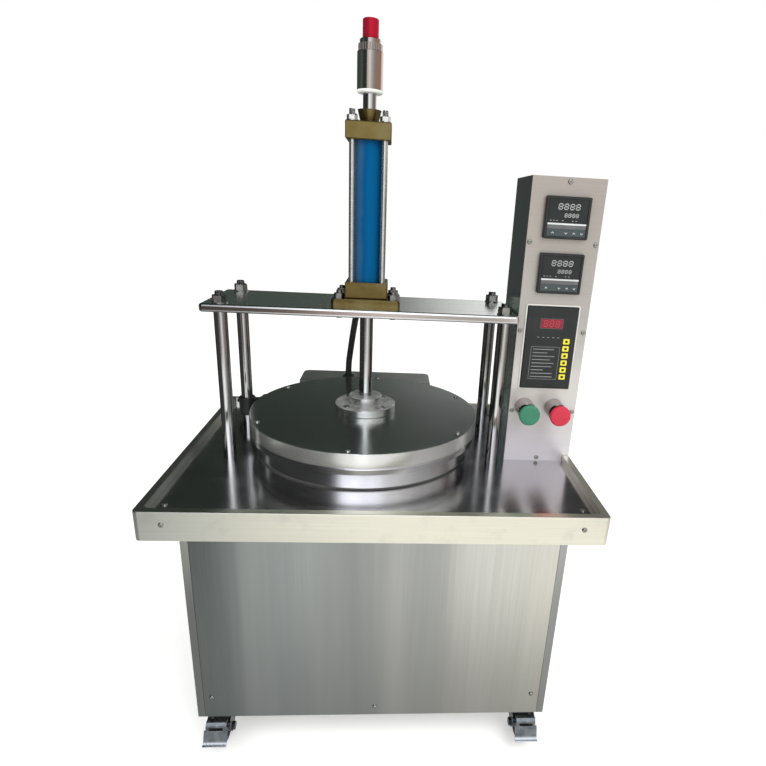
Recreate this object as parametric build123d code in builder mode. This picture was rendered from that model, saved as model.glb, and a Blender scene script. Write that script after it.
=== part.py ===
"""Flatbread pressing machine: a heated hydraulic plate press on a wheeled steel cabinet.

Millimetres, +Z up, +X to the operator's right, the operator stands on the -Y side.
The origin is on the floor, under the middle of the table's width, level with the press axis.
"""

import os
from math import cos, pi, radians, sin, tan

from build123d import *

os.makedirs("parts", exist_ok=True)

# Table tray: a folded rim with the work top let into it
table_width = 709.0
table_depth = 520.0
table_height = 495.0  # floor to the top of the rim
platen_to_back = 5.0  # upper platen to the table's back edge
sheet = 1.5  # thickness of the folded casings
rim_width = 12.0
rim_drop = 12.0  # rim top down to the work surface
skirt_height = 48.0
rim_corner = 8.0
rim_fold = 1.4  # outside bend of the sheet
skirt_lip = 14.0  # return along the bottom of the skirt
work_top_gap = 0.1  # joint between the work top and the rim

# Cabinet under the table
cabinet_inset = 49.5  # table edge to the cabinet, left and right
cabinet_setback = 35.0  # table edge to the cabinet, front and back
side_return = 12.0  # strip of each side panel that shows at the front
rear_return = 22.0
seam = 0.6  # gap round the front panel
top_flange = 24.0
base_flange = 30.0
panel_lip = 16.0
rear_panel_lap = 5.0  # rear panel stops this short of the cabinet's sides
vent_width = 120.0
vent_height = 6.0
vent_pitch = 18.0
vent_rows = 7
vent_columns = 2
vent_spacing = 190.0
mains_gland_x = 190.0
mains_gland_up = 81.5  # above the bottom of the cabinet

# Small screws of the casings
screw_head = 8.0
screw_head_height = 2.4
screw_shank = 4.0
screw_length = 9.0
screw_slack = 0.2  # radial room in a screw hole
front_screw_inset = 14.0
front_screw_up = 43.5
middle_screw_up = 18.0
rear_screw_margin = 40.0
fascia_screw_inset = 40.5
fascia_screw_drop = 21.0
table_screw_inset_x = 4.5  # from the edge of the cabinet's top flange
table_screw_inset_y = 42.0

# Casters
caster_height = 70.0
caster_inset_x = 31.0  # cabinet side to the swivel axis
caster_inset_y = 43.0
caster_plate_x = 50.0
caster_plate_y = 56.0
caster_plate_thickness = 2.5
caster_bolt_x = 38.0
caster_bolt_y = 42.0
caster_bolt = 6.0
caster_bolt_head = 10.0
caster_bolt_head_height = 4.0
raceway_diameter = 36.0
raceway_height = 5.0
swivel_gap = 0.3
kingpin_diameter = 10.0
fork_crown = 3.0
fork_leg = 2.5
fork_width = 34.0
fork_eye = 9.0
wheel_diameter = 50.0
wheel_width = 24.0
wheel_trail = 22.0
wheel_side_gap = 5.5  # tread to the fork's leg
wheel_hub_gap = 1.0  # hub to the fork's leg
wheel_web = 12.0
wheel_hub_diameter = 18.0
wheel_rim = 17.0  # inner radius of the tread
axle_diameter = 8.0
axle_head = 13.0
axle_head_height = 4.0
running_gap = 0.05
pedal_pivot_ahead = 15.0
pedal_pivot_up = 21.0  # above the axle
pedal_rivet = 5.0
pedal_rivet_head = 8.0
pedal_rivet_head_height = 1.2
pedal_sheet = 2.0
pedal_ear = 6.0
pedal_ear_gap = 0.3
pedal_width = 40.0
pedal_hood = ((-4.0, 14.5), (-11.5, 15.5), (-15.0, 11.5), (-17.0, 3.0))  # bends ahead of and above the pivot
pedal_reach = 27.0  # pedal pivot to the toe, ahead
pedal_fall = 17.0  # pedal pivot to the toe, down
pedal_lip = 6.0
pedal_slot_width = 25.0
pedal_slot_height = 5.0
pedal_slot_up = 6.5  # above the pivot

# Press frame
column_to_wall = 28.0  # cabinet's left side to the axis of the left columns
column_to_box = 25.0  # axis of the right columns to the control box
column_spacing_y = 140.0
column_diameter = 22.0
column_length = 262.0  # work surface to the top plate
stud_diameter = 14.0
stud_tip = 6.5
column_slack = 0.2
nut_flats = 21.0
nut_height = 11.5
washer_diameter = 26.0
washer_thickness = 2.0
top_plate_past_left = 31.0  # top plate past the columns' axes
top_plate_past_right = 24.0
top_plate_past_y = 16.0
top_plate_thickness = 14.0
top_plate_corner = 6.0
top_plate_edge = 4.0
base_plate_past_x = 21.0  # base plate past the columns' axes
base_plate_past_y = 25.0
base_plate_thickness = 16.0

# Hydraulic cylinder
flange_width = 120.0
flange_depth = 104.0
flange_thickness = 11.5
flange_bolt_inset_x = 13.0
flange_bolt_inset_y = 21.0
flange_edge = 3.0
flange_corner = 6.0
flange_bolt = 10.0
bolt_flats = 16.0
bolt_nut_height = 8.0
bolt_tip = 5.0
bolt_tip_under = 2.0
block_side = 74.0
block_edge = 1.5
lower_block_height = 27.5
upper_block_height = 27.0
tube_diameter = 56.0
tube_wall = 4.0
tube_length = 227.0
tie_rod_diameter = 9.5
tie_rod_spacing = 53.0
tie_rod_tip = 9.0
tie_nut_flats = 15.0
tie_nut_height = 7.0
tie_washer_diameter = 18.0
tie_washer_thickness = 1.6
fit_gap = 0.1  # radial room of assembled round parts
gland_diameter = 40.0
upper_gland_height = 20.0
upper_gland_foot = 29.0
upper_gland_top = 39.0
lower_gland_reach = 8.0  # down into the top plate
plate_hole_gap = 1.0
lower_rod_diameter = 24.0
upper_rod_diameter = 22.0
rod_thread_diameter = 18.0
piston_height = 30.0
piston_gap = 0.05
piston_rest = 6.0  # above the lower block with the press shut
port_diameter = 14.0
port_depth = 12.0
fitting_flats = 22.0
fitting_nut = 12.0
fitting_ferrule = 19.0
fitting_ferrule_length = 20.0

# Stop sleeve, lock ring and cap on the upper rod
sleeve_diameter = 42.0
sleeve_rise = 44.0  # upper block to the sleeve with the press shut
sleeve_length = 59.0
sleeve_chamfer = 1.5
sleeve_top_chamfer = 1.0
ring_knurl_diameter = 39.0
ring_knurl_height = 10.0
ring_neck_diameter = 34.0
ring_neck_height = 7.0
knurl_count = 36
knurl_depth = 0.8
cap_diameter = 25.5
cap_length = 28.0
cap_wall = 3.0
cap_round = 2.0

# Platens
platen_to_column = 26.0  # sideways, from the upper platen's edge to the columns' axes
lower_inset = 12.0  # lower platen's edge inside the upper one's
lower_height = 29.0
lower_insulation_thickness = 3.0
lower_insulation_inset = 5.0
upper_thickness = 11.0
press_gap = 0.5  # between the plates with the press shut
groove = 1.6  # between the upper plate and its cover
cover_height = 25.5
cover_sheet = 2.0
cover_gap = 0.5
cover_rim = 15.0  # wall under the cover's edge
platen_edge = 1.2
heater_past_hub = 13.0
heater_inset = 17.0  # inside the lower platen's edge
heater_thickness = 8.0
heater_gap = 0.3
cover_screw_inset = 10.0
cover_screw_count = 6
cover_screw_turn = 25.0  # degrees

# Hub between the rod and the upper platen
hub_flange_diameter = 114.0
hub_flange_height = 14.0
hub_boss_diameter = 62.0
hub_boss_height = 15.0
hub_bolt_circle = 92.0
hub_bolt_count = 4
hub_bolt = 8.0
hub_bolt_head = 13.0
hub_bolt_head_height = 8.0
hub_bolt_length = 30.0
hub_counterbore = 7.0
hub_counterbore_gap = 0.5
hub_socket = 6.0
hub_socket_depth = 4.0
rod_seat = 24.0  # depth of the rod in the hub

# Control box
box_width = 124.5
box_depth = 120.0
box_height = 491.0  # above the rim
box_front = 69.0  # press axis forward to the panel's face
box_flange = 14.0
box_rest_gap = 0.3  # over the rim
panel_thickness = 2.0
panel_screw_side = 5.5
panel_screw_end = 7.0
panel_screw_drops = (103.5, 253.5, 402.5)  # below the box's top
controller_width = 75.0
controller_height = 67.0
controller_proud = 8.0
controller_body_x = 67.0
controller_body_z = 60.0
controller_body_depth = 80.0
controller_drops = (63.0, 153.0)  # below the box's top
controller_offset = 0.25  # right of the box's middle
controller_round = 2.5
timer_width = 91.0
timer_height = 149.0
timer_proud = 3.5
timer_body_x = 82.0
timer_body_z = 138.0
timer_body_depth = 34.0
timer_drop = 283.5  # below the box's top
timer_offset = -2.25
timer_round = 2.0
cutout_gap = 0.5

# Push buttons
button_spacing = 55.4
button_offset = -7.55  # middle of the pair, right of the box's middle
button_drop = 394.7  # below the box's top
button_head = 37.0
button_head_height = 9.0
button_round = 3.0
button_reach = 52.0  # panel to the face of the head
button_stem = 12.0
collar_diameter = 34.0
collar_height = 34.0
barrel_diameter = 22.0
barrel_length = 14.0
contact_block_x = 30.0
contact_block_z = 44.0
contact_block_depth = 42.0
button_travel = 5.0
stem_depth = 18.0  # stem into the barrel, behind the panel's face
stem_room = 1.0  # behind the stem when it is pressed
nut_ring_diameter = 26.0
nut_ring_height = 4.0

# Box for the hoses behind the table
hose_box_width = 300.0
hose_box_offset = -10.0  # right of the press axis
hose_box_depth = 82.4
hose_box_rise = 45.0  # above the rim
hose_box_corner = 14.0
hose_window_x = 110.0
hose_window_z = 22.0
hose_window_up = 12.0  # above the skirt's bottom

# Hose from the cylinder to the box behind, and its grommet
hose_diameter = 14.0
hose_steps = (  # length, slope in degrees and sideways shift of each run from the cylinder
    (46.0, 0.0, 0.0),
    (38.0, 20.0, -9.0),
    (42.0, 40.0, -11.0),
    (46.0, 58.0, -10.0),
    (54.0, 66.0, -9.0),
    (50.0, 74.0, -7.0),
    (36.0, 82.0, -5.0),
)
grommet_diameter = 26.0
grommet_height = 6.0
grommet_lip = 3.0
grommet_offset = -41.0  # right of the hose box's middle
grommet_setback = 28.0  # behind the hose box's front
hose_straight = 27.4  # last run, straight down into the grommet

# Lead of the upper heater
lead_diameter = 7.0
clamp_diameter = 32.0
clamp_height = 36.0
clamp_up = 28.0  # above the work surface
clamp_boss = 13.0
clamp_boss_length = 8.0
clamp_turn = 112.0  # degrees from +X, the way the lead leaves the column
platen_gland_turn = 150.0
lead_straight = 13.0  # first and last run of the lead
lead_steps = (  # points of the loop, from the lead's start
    (-13.5, 22.0, -2.0),
    (-23.4, 32.7, -8.5),
    (-26.6, 46.1, -16.4),
    (-21.1, 59.7, -22.6),
    (-8.2, 68.9, -24.2),
    (7.2, 70.2, -20.5),
    (19.7, 63.7, -13.1),
    (26.5, 51.9, -4.9),
    (30.8, 39.9, -0.2),
)
platen_gland_up = 16.0  # above the upper platen's bottom
platen_gland_diameter = 14.0
platen_gland_length = 16.0
platen_gland_wall = 1.0  # round the lead at the tip

# Hydraulic unit inside the cabinet
tank_x = 330.0
tank_y = 230.0
tank_height = 150.0
tank_wall = 3.0
tank_lid = 5.0
tank_lid_lap = 12.0
tank_corner = 10.0
tank_offset_x = -70.0
motor_diameter = 140.0
motor_height = 150.0
motor_flange = 170.0
motor_flange_height = 12.0
motor_offset_x = -60.0
motor_cowl = 28.0
motor_fins = 24
motor_fin_height = 5.0
motor_fin_width = 3.0
valve_x = 70.0
valve_y = 70.0
valve_height = 90.0
valve_offset_x = 95.0
solenoid_diameter = 34.0
solenoid_length = 45.0

# Places and levels worked out from the sizes above
cabinet_width = table_width - 2 * cabinet_inset
box_right = table_width / 2
box_left = box_right - box_width
box_middle = (box_left + box_right) / 2
column_left = column_to_wall - cabinet_width / 2
column_right = box_left - column_to_box
column_spacing_x = column_right - column_left
press_offset = (column_left + column_right) / 2
top_plate_width = column_spacing_x + top_plate_past_left + top_plate_past_right
top_plate_middle = press_offset + (top_plate_past_right - top_plate_past_left) / 2
top_plate_depth = column_spacing_y + 2 * top_plate_past_y
base_plate_width = column_spacing_x + 2 * base_plate_past_x
base_plate_depth = column_spacing_y + 2 * base_plate_past_y
flange_bolt_x = flange_width - 2 * flange_bolt_inset_x
flange_bolt_y = flange_depth - 2 * flange_bolt_inset_y
upper_diameter = column_spacing_x - 2 * platen_to_column
lower_diameter = upper_diameter - 2 * lower_inset
heater_inner = hub_flange_diameter + 2 * heater_past_hub
heater_outer = lower_diameter - 2 * heater_inset
cover_screw_circle = upper_diameter - 2 * cover_screw_inset
table_back = upper_diameter / 2 + platen_to_back
table_front = table_back - table_depth
table_middle = (table_front + table_back) / 2
rim_top = table_height
table_top = table_height - rim_drop
table_under = table_top - sheet
skirt_bottom = table_height - skirt_height
cabinet_front = table_front + cabinet_setback
cabinet_back = table_back - cabinet_setback
cabinet_depth = cabinet_back - cabinet_front
cabinet_middle = (cabinet_front + cabinet_back) / 2
cabinet_bottom = caster_height
cabinet_tall = table_under - cabinet_bottom
inner_half = cabinet_width / 2 - sheet
plate_bottom = table_top + column_length
plate_top = plate_bottom + top_plate_thickness
flange_top = plate_top + flange_thickness
tube_bottom = flange_top + lower_block_height
tube_top = tube_bottom + tube_length
block_top = tube_top + upper_block_height
sleeve_bottom = block_top + sleeve_rise
sleeve_top = sleeve_bottom + sleeve_length
ring_top = sleeve_top + ring_knurl_height + ring_neck_height
cap_top = ring_top + cap_length
lower_bottom = table_top + lower_insulation_thickness
lower_top = lower_bottom + lower_height
upper_bottom = lower_top + press_gap
upper_top = upper_bottom + upper_thickness
cover_bottom = upper_top + groove
cover_top = cover_bottom + cover_height
cover_under = cover_top - cover_sheet
hub_top = cover_top + hub_flange_height + hub_boss_height
rod_bottom = hub_top - rod_seat
piston_bottom = tube_bottom + piston_rest
column_points = [
    (press_offset + side_x * column_spacing_x / 2, side_y * column_spacing_y / 2)
    for side_y in (-1, 1)
    for side_x in (-1, 1)
]
flange_points = [
    (press_offset + side_x * flange_bolt_x / 2, side_y * flange_bolt_y / 2)
    for side_y in (-1, 1)
    for side_x in (-1, 1)
]
tie_points = [
    (press_offset + side_x * tie_rod_spacing / 2, side_y * tie_rod_spacing / 2)
    for side_y in (-1, 1)
    for side_x in (-1, 1)
]
panel_face = -box_front
panel_back = panel_face + panel_thickness
box_top = rim_top + box_height
rim_inside = table_width / 2 - rim_width
notch_x = rim_inside - box_rest_gap
notch_z = rim_top + box_rest_gap
button_points = {
    "start_button": box_middle + button_offset - button_spacing / 2,
    "stop_button": box_middle + button_offset + button_spacing / 2,
}
button_z = box_top - button_drop
fitting_points = {
    "lower": flange_top + lower_block_height / 2,
    "upper": tube_top + upper_block_height / 2,
}
hose_box_x = press_offset + hose_box_offset
hose_box_front = table_back
hose_box_top = rim_top + hose_box_rise
grommet_x = hose_box_x + grommet_offset
grommet_y = hose_box_front + grommet_setback
hose_end = hose_box_top + grommet_height
hose_y = block_side / 2 + fitting_nut + fitting_ferrule_length
hose_z = fitting_points["lower"]
hose_reach = sum(run * cos(radians(slope)) for run, slope, shift in hose_steps)
hose_fall = sum(run * sin(radians(slope)) for run, slope, shift in hose_steps)
hose_shift = sum(shift for run, slope, shift in hose_steps)
hose_points = [(press_offset, hose_y, hose_z)]
for run, slope, shift in hose_steps[:-1]:
    last_x, last_y, last_z = hose_points[-1]
    hose_points.append(
        (
            last_x + shift * (grommet_x - press_offset) / hose_shift,
            last_y + run * cos(radians(slope)) * (grommet_y - hose_y) / hose_reach,
            last_z - run * sin(radians(slope)) * (hose_z - hose_end - hose_straight) / hose_fall,
        )
    )
hose_points.append((grommet_x, grommet_y, hose_end + hose_straight))
hose_points.append((grommet_x, grommet_y, hose_end))


def ring(outer, inner, bottom, height):
    """A plain round sleeve standing on the press axis."""
    with BuildPart() as made:
        with BuildSketch(Plane.XY.offset(bottom)):
            with Locations((press_offset, 0)):
                Circle(outer / 2)
                Circle(inner / 2, mode=Mode.SUBTRACT)
        extrude(amount=height)
    return made.part


def hex_nut(flats, height, bore):
    """A hexagon nut standing on Z = 0."""
    with BuildPart() as made:
        with BuildSketch():
            RegularPolygon(flats / 2, 6, major_radius=False)
        extrude(amount=height)
        chamfer(made.edges().group_by(Axis.Z)[-1], height * 0.08)
        Hole(bore / 2)
    return made.part


def washer(diameter, thickness, bore):
    """A flat washer lying on Z = 0."""
    with BuildPart() as made:
        with BuildSketch():
            Circle(diameter / 2)
            Circle(bore / 2, mode=Mode.SUBTRACT)
        extrude(amount=thickness)
    return made.part


def pan_screw(head, head_height, shank, length):
    """A screw with a domed head, seated on Z = 0 and pointing down."""
    with BuildPart() as made:
        with BuildSketch():
            Circle(head / 2)
        extrude(amount=head_height)
        fillet(made.edges().group_by(Axis.Z)[-1], head_height * 0.7)
        with BuildSketch():
            Circle(shank / 2)
        extrude(amount=-length)
    return made.part


def socket_screw(head, head_height, shank, length, socket, socket_depth):
    """A cap screw with a hexagon socket, seated on Z = 0 and pointing down."""
    with BuildPart() as made:
        with BuildSketch():
            Circle(head / 2)
        extrude(amount=head_height)
        chamfer(made.edges().group_by(Axis.Z)[-1], head_height * 0.06)
        with BuildSketch(Plane.XY.offset(head_height)):
            RegularPolygon(socket / 2, 6, major_radius=False)
        extrude(amount=-socket_depth, mode=Mode.SUBTRACT)
        with BuildSketch():
            Circle(shank / 2)
        extrude(amount=-length)
    return made.part


def write(node, name):
    """Labels a finished piece and writes its STEP file."""
    node.part.label = name
    export_step(node.part, f"parts/{name}.step")


screw_hole = screw_shank / 2 + screw_slack

# Table tray
front_screws = [
    (side * (cabinet_width / 2 - side_return - front_screw_inset), cabinet_bottom + front_screw_up)
    for side in (-1, 1)
] + [(0, cabinet_bottom + middle_screw_up)]
fascia_screws = [
    (side * (table_width / 2 - fascia_screw_inset), rim_top - fascia_screw_drop) for side in (-1, 1)
]
table_screws = [
    (side * (cabinet_width / 2 - sheet + top_flange - table_screw_inset_x), table_front + table_screw_inset_y)
    for side in (-1, 1)
]

with BuildPart() as table_tray:
    with BuildSketch(Plane.XY.offset(skirt_bottom)):
        with Locations((0, table_middle)):
            RectangleRounded(table_width, table_depth, rim_corner)
    extrude(amount=skirt_height)
    fillet(table_tray.edges().group_by(Axis.Z)[-1], rim_fold)
    with BuildSketch(Plane.XY.offset(table_under)):
        with Locations((0, table_middle)):
            RectangleRounded(table_width - 2 * rim_width, table_depth - 2 * rim_width, rim_corner)
    extrude(amount=rim_drop + sheet, mode=Mode.SUBTRACT)
    with BuildSketch(Plane.XY.offset(skirt_bottom)):
        with Locations((0, table_middle)):
            Rectangle(table_width - 2 * skirt_lip, table_depth - 2 * skirt_lip)
    extrude(amount=sheet, mode=Mode.SUBTRACT)
    with BuildSketch(Plane.XY.offset(skirt_bottom + sheet)):
        with Locations((0, table_middle)):
            RectangleRounded(table_width - 2 * sheet, table_depth - 2 * sheet, rim_corner - sheet)
    extrude(amount=table_under - skirt_bottom - sheet, mode=Mode.SUBTRACT)
    with BuildSketch(Plane.XY.offset(table_under)):
        with Locations((0, table_middle)):
            RectangleRounded(table_width - 2 * sheet, table_depth - 2 * sheet, rim_corner - sheet)
            RectangleRounded(
                table_width - 2 * rim_width + 2 * sheet,
                table_depth - 2 * rim_width + 2 * sheet,
                rim_corner,
                mode=Mode.SUBTRACT,
            )
    extrude(amount=rim_drop, mode=Mode.SUBTRACT)
    with BuildSketch(Plane.XY.offset(table_under)):
        with Locations((0, table_middle)):
            RectangleRounded(
                table_width - 2 * rim_width - 2 * work_top_gap,
                table_depth - 2 * rim_width - 2 * work_top_gap,
                rim_corner - work_top_gap,
            )
        with Locations(*column_points):
            Circle(column_diameter / 2 + column_slack, mode=Mode.SUBTRACT)
        with Locations(*table_screws):
            Circle(screw_hole, mode=Mode.SUBTRACT)
    extrude(amount=sheet)
    with BuildSketch(Plane.XZ.offset(-table_front)):
        with Locations(*fascia_screws):
            Circle(screw_hole)
    extrude(amount=-sheet, mode=Mode.SUBTRACT)
    with BuildSketch(Plane.XZ.offset(-table_back)):
        with Locations((hose_box_x, skirt_bottom + hose_window_up + hose_window_z / 2)):
            Rectangle(hose_window_x, hose_window_z)
    extrude(amount=sheet, mode=Mode.SUBTRACT)
write(table_tray, "table_tray")

# Cabinet sides: a wall with a strip turned in at the front, a return at the back and a flange under the table
rear_screws = [
    (side * (cabinet_width / 2 - rear_return / 2 - rear_panel_lap / 2), height)
    for side in (-1, 1)
    for height in (
        cabinet_bottom + base_flange + rear_screw_margin,
        cabinet_bottom + cabinet_tall / 2,
        table_under - rear_screw_margin,
    )
]
for side, name in ((-1, "cabinet_left_side"), (1, "cabinet_right_side")):
    outer = side * cabinet_width / 2
    with BuildPart() as cabinet_side:
        with BuildSketch(Plane.XY.offset(cabinet_bottom)):
            with Locations((outer - side * sheet / 2, cabinet_middle)):
                Rectangle(sheet, cabinet_depth)
            with Locations((outer - side * side_return / 2, cabinet_front + sheet / 2)):
                Rectangle(side_return, sheet)
            with Locations((outer - side * rear_return / 2, cabinet_back - sheet / 2)):
                Rectangle(rear_return, sheet)
        extrude(amount=cabinet_tall)
        with BuildSketch(Plane.XY.offset(table_under - sheet)):
            with Locations((outer + side * (top_flange / 2 - sheet), cabinet_middle)):
                Rectangle(top_flange, cabinet_depth)
        extrude(amount=sheet)
        with BuildSketch(Plane.XZ.offset(-cabinet_back)):
            with Locations(*[p for p in rear_screws if p[0] * side > 0]):
                Circle(screw_hole)
        extrude(amount=sheet, mode=Mode.SUBTRACT)
        with BuildSketch(Plane.XY.offset(table_under)):
            with Locations(*[p for p in table_screws if p[0] * side > 0]):
                Circle(screw_hole)
        extrude(amount=-sheet, mode=Mode.SUBTRACT)
    write(cabinet_side, name)

# Front panel between the two strips, with a lip along its top
with BuildPart() as cabinet_front_panel:
    panel_width = cabinet_width - 2 * side_return - 2 * seam
    with BuildSketch(Plane.XY.offset(cabinet_bottom)):
        with Locations((0, cabinet_front + sheet / 2)):
            Rectangle(panel_width, sheet)
    extrude(amount=cabinet_tall - seam)
    with BuildSketch(Plane.XY.offset(table_under - seam - sheet)):
        with Locations((0, cabinet_front + sheet + panel_lip / 2)):
            Rectangle(panel_width, panel_lip)
    extrude(amount=sheet)
    with BuildSketch(Plane.XZ.offset(-cabinet_front)):
        with Locations(*front_screws):
            Circle(screw_hole)
    extrude(amount=-sheet, mode=Mode.SUBTRACT)
write(cabinet_front_panel, "cabinet_front_panel")

# Rear panel, lapped over the returns, with two stacks of vents and the hole of the supply gland
mains_gland_z = cabinet_bottom + mains_gland_up
with BuildPart() as cabinet_rear_panel:
    with BuildSketch(Plane.XZ.offset(-cabinet_back)):
        with Locations((0, cabinet_bottom + (cabinet_tall - seam) / 2)):
            Rectangle(cabinet_width - 2 * rear_panel_lap, cabinet_tall - seam)
        with Locations((0, cabinet_bottom + cabinet_tall / 2)):
            with GridLocations(vent_spacing, vent_pitch, vent_columns, vent_rows):
                SlotOverall(vent_width, vent_height, mode=Mode.SUBTRACT)
        with Locations(*rear_screws):
            Circle(screw_hole, mode=Mode.SUBTRACT)
        with Locations((mains_gland_x, mains_gland_z)):
            Circle(grommet_diameter / 2 - grommet_lip + fit_gap, mode=Mode.SUBTRACT)
    extrude(amount=-sheet)
write(cabinet_rear_panel, "cabinet_rear_panel")

# Base: a tray that joins the sides and carries the casters
caster_points = [
    (side_x * (cabinet_width / 2 - caster_inset_x), y)
    for y in (cabinet_front + caster_inset_y, cabinet_back - caster_inset_y)
    for side_x in (-1, 1)
]
base_front = cabinet_front + sheet
base_back = cabinet_back - sheet
with BuildPart() as cabinet_base:
    with BuildSketch(Plane.XY.offset(cabinet_bottom)):
        with Locations((0, (base_front + base_back) / 2)):
            Rectangle(2 * inner_half, base_back - base_front)
    extrude(amount=base_flange)
    with BuildSketch(Plane.XY.offset(cabinet_bottom + sheet)):
        with Locations((0, (base_front + base_back) / 2)):
            Rectangle(2 * (inner_half - sheet), base_back - base_front - 2 * sheet)
    extrude(amount=base_flange - sheet, mode=Mode.SUBTRACT)
    with BuildSketch(Plane.XY.offset(cabinet_bottom)):
        with Locations(*caster_points):
            with GridLocations(caster_bolt_x, caster_bolt_y, 2, 2):
                Circle(caster_bolt / 2 + screw_slack)
    extrude(amount=sheet, mode=Mode.SUBTRACT)
    with BuildSketch(Plane.XZ.offset(-base_front)):
        with Locations(*front_screws):
            Circle(screw_hole)
    extrude(amount=-sheet, mode=Mode.SUBTRACT)
write(cabinet_base, "cabinet_base")

# Press frame: base plate under the table, four columns and the top plate
base_bottom = table_under - base_plate_thickness
with BuildPart() as press_base_plate:
    with BuildSketch(Plane.XY.offset(base_bottom)):
        with Locations((press_offset, 0)):
            Rectangle(base_plate_width, base_plate_depth)
        with Locations(*column_points):
            Circle(stud_diameter / 2 + column_slack, mode=Mode.SUBTRACT)
    extrude(amount=base_plate_thickness)
write(press_base_plate, "press_base_plate")

stud_length_top = top_plate_thickness + washer_thickness + nut_height + stud_tip
stud_length_bottom = base_plate_thickness + washer_thickness + nut_height + stud_tip
with BuildPart() as press_columns:
    with BuildSketch(Plane.XY.offset(table_under)):
        with Locations(*column_points):
            Circle(column_diameter / 2)
    extrude(amount=plate_bottom - table_under)
    with BuildSketch(Plane.XY.offset(plate_bottom)):
        with Locations(*column_points):
            Circle(stud_diameter / 2)
    extrude(amount=stud_length_top)
    with BuildSketch(Plane.XY.offset(table_under)):
        with Locations(*column_points):
            Circle(stud_diameter / 2)
    extrude(amount=-stud_length_bottom)
    chamfer(press_columns.edges().group_by(Axis.Z)[-1], stud_diameter * 0.08)
write(press_columns, "press_columns")

column_nut = hex_nut(nut_flats, nut_height, stud_diameter + 2 * column_slack)
column_washer = washer(washer_diameter, washer_thickness, stud_diameter + 2 * column_slack)
with BuildPart() as column_nuts:
    for x, y in column_points:
        with Locations((x, y, plate_top)):
            add(column_washer)
        with Locations((x, y, plate_top + washer_thickness)):
            add(column_nut)
        with Locations((x, y, base_bottom - washer_thickness)):
            add(column_washer)
        with Locations((x, y, base_bottom - washer_thickness - nut_height)):
            add(column_nut)
write(column_nuts, "column_nuts")

with BuildPart() as top_plate:
    with BuildSketch(Plane.XY.offset(plate_bottom)):
        with Locations((top_plate_middle, 0)):
            RectangleRounded(top_plate_width, top_plate_depth, top_plate_corner)
    extrude(amount=top_plate_thickness)
    fillet(top_plate.edges().group_by(Axis.Z)[-1], top_plate_edge)
    fillet(top_plate.edges().group_by(Axis.Z)[0], top_plate_edge)
    with BuildSketch(Plane.XY.offset(plate_bottom)):
        with Locations(*column_points):
            Circle(stud_diameter / 2 + column_slack)
        with Locations(*flange_points):
            Circle(flange_bolt / 2 + column_slack)
        with Locations((press_offset, 0)):
            Circle(gland_diameter / 2 + plate_hole_gap)
    extrude(amount=top_plate_thickness, mode=Mode.SUBTRACT)
write(top_plate, "top_plate")

# Cylinder: flange, lower block, tube, upper block
with BuildPart() as cylinder_flange:
    with BuildSketch(Plane.XY.offset(plate_top)):
        with Locations((press_offset, 0)):
            RectangleRounded(flange_width, flange_depth, flange_corner)
            Circle(gland_diameter / 2 + fit_gap, mode=Mode.SUBTRACT)
        with Locations(*flange_points):
            Circle(flange_bolt / 2 + column_slack, mode=Mode.SUBTRACT)
    extrude(amount=flange_thickness)
    chamfer(cylinder_flange.faces().sort_by(Axis.Z)[-1].outer_wire().edges(), flange_edge)
write(cylinder_flange, "cylinder_flange")

blocks = (
    ("cylinder_lower_block", flange_top, lower_block_height, lower_rod_diameter),
    ("cylinder_upper_block", tube_top, upper_block_height, upper_rod_diameter),
)
for name, bottom, height, rod in blocks:
    with BuildPart() as block:
        with BuildSketch(Plane.XY.offset(bottom)):
            with Locations((press_offset, 0)):
                Rectangle(block_side, block_side)
        extrude(amount=height)
        chamfer(block.edges(), block_edge)
        with BuildSketch(Plane.XY.offset(bottom)):
            with Locations((press_offset, 0)):
                Circle(rod / 2 + running_gap)
            with Locations(*tie_points):
                Circle(tie_rod_diameter / 2 + fit_gap)
        extrude(amount=height, mode=Mode.SUBTRACT)
        with BuildSketch(Plane.XZ.offset(-block_side / 2)):
            with Locations((press_offset, bottom + height / 2)):
                Circle(port_diameter / 2)
        extrude(amount=port_depth, mode=Mode.SUBTRACT)
    write(block, name)

cylinder_tube = BuildPart()
with cylinder_tube:
    add(ring(tube_diameter, tube_diameter - 2 * tube_wall, tube_bottom, tube_length))
write(cylinder_tube, "cylinder_tube")

# Tie rods with their nuts
tie_nut = hex_nut(tie_nut_flats, tie_nut_height, tie_rod_diameter + 2 * fit_gap)
tie_washer = washer(tie_washer_diameter, tie_washer_thickness, tie_rod_diameter + 2 * fit_gap)
with BuildPart() as tie_rods:
    with BuildSketch(Plane.XY.offset(flange_top)):
        with Locations(*tie_points):
            Circle(tie_rod_diameter / 2)
    extrude(amount=block_top - flange_top + tie_washer_thickness + tie_nut_height + tie_rod_tip)
    chamfer(tie_rods.edges().group_by(Axis.Z)[-1], tie_rod_diameter * 0.1)
    for x, y in tie_points:
        with Locations((x, y, block_top)):
            add(tie_washer)
        with Locations((x, y, block_top + tie_washer_thickness)):
            add(tie_nut)
write(tie_rods, "tie_rods")

# Glands that guide the rod: one in the flange, one on the upper block
lower_gland = ring(
    gland_diameter,
    lower_rod_diameter + 2 * running_gap,
    plate_top - lower_gland_reach,
    flange_thickness + lower_gland_reach,
)
with BuildPart() as rod_glands:
    add(lower_gland)
    with BuildSketch(Plane.XY.offset(block_top)):
        with Locations((press_offset, 0)):
            Circle(upper_gland_foot / 2)
    with BuildSketch(Plane.XY.offset(block_top + upper_gland_height)):
        with Locations((press_offset, 0)):
            Circle(upper_gland_top / 2)
    loft()
    with BuildSketch(Plane.XY.offset(block_top)):
        with Locations((press_offset, 0)):
            Circle(upper_rod_diameter / 2 + running_gap)
    extrude(amount=upper_gland_height, mode=Mode.SUBTRACT)
write(rod_glands, "rod_glands")

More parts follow.
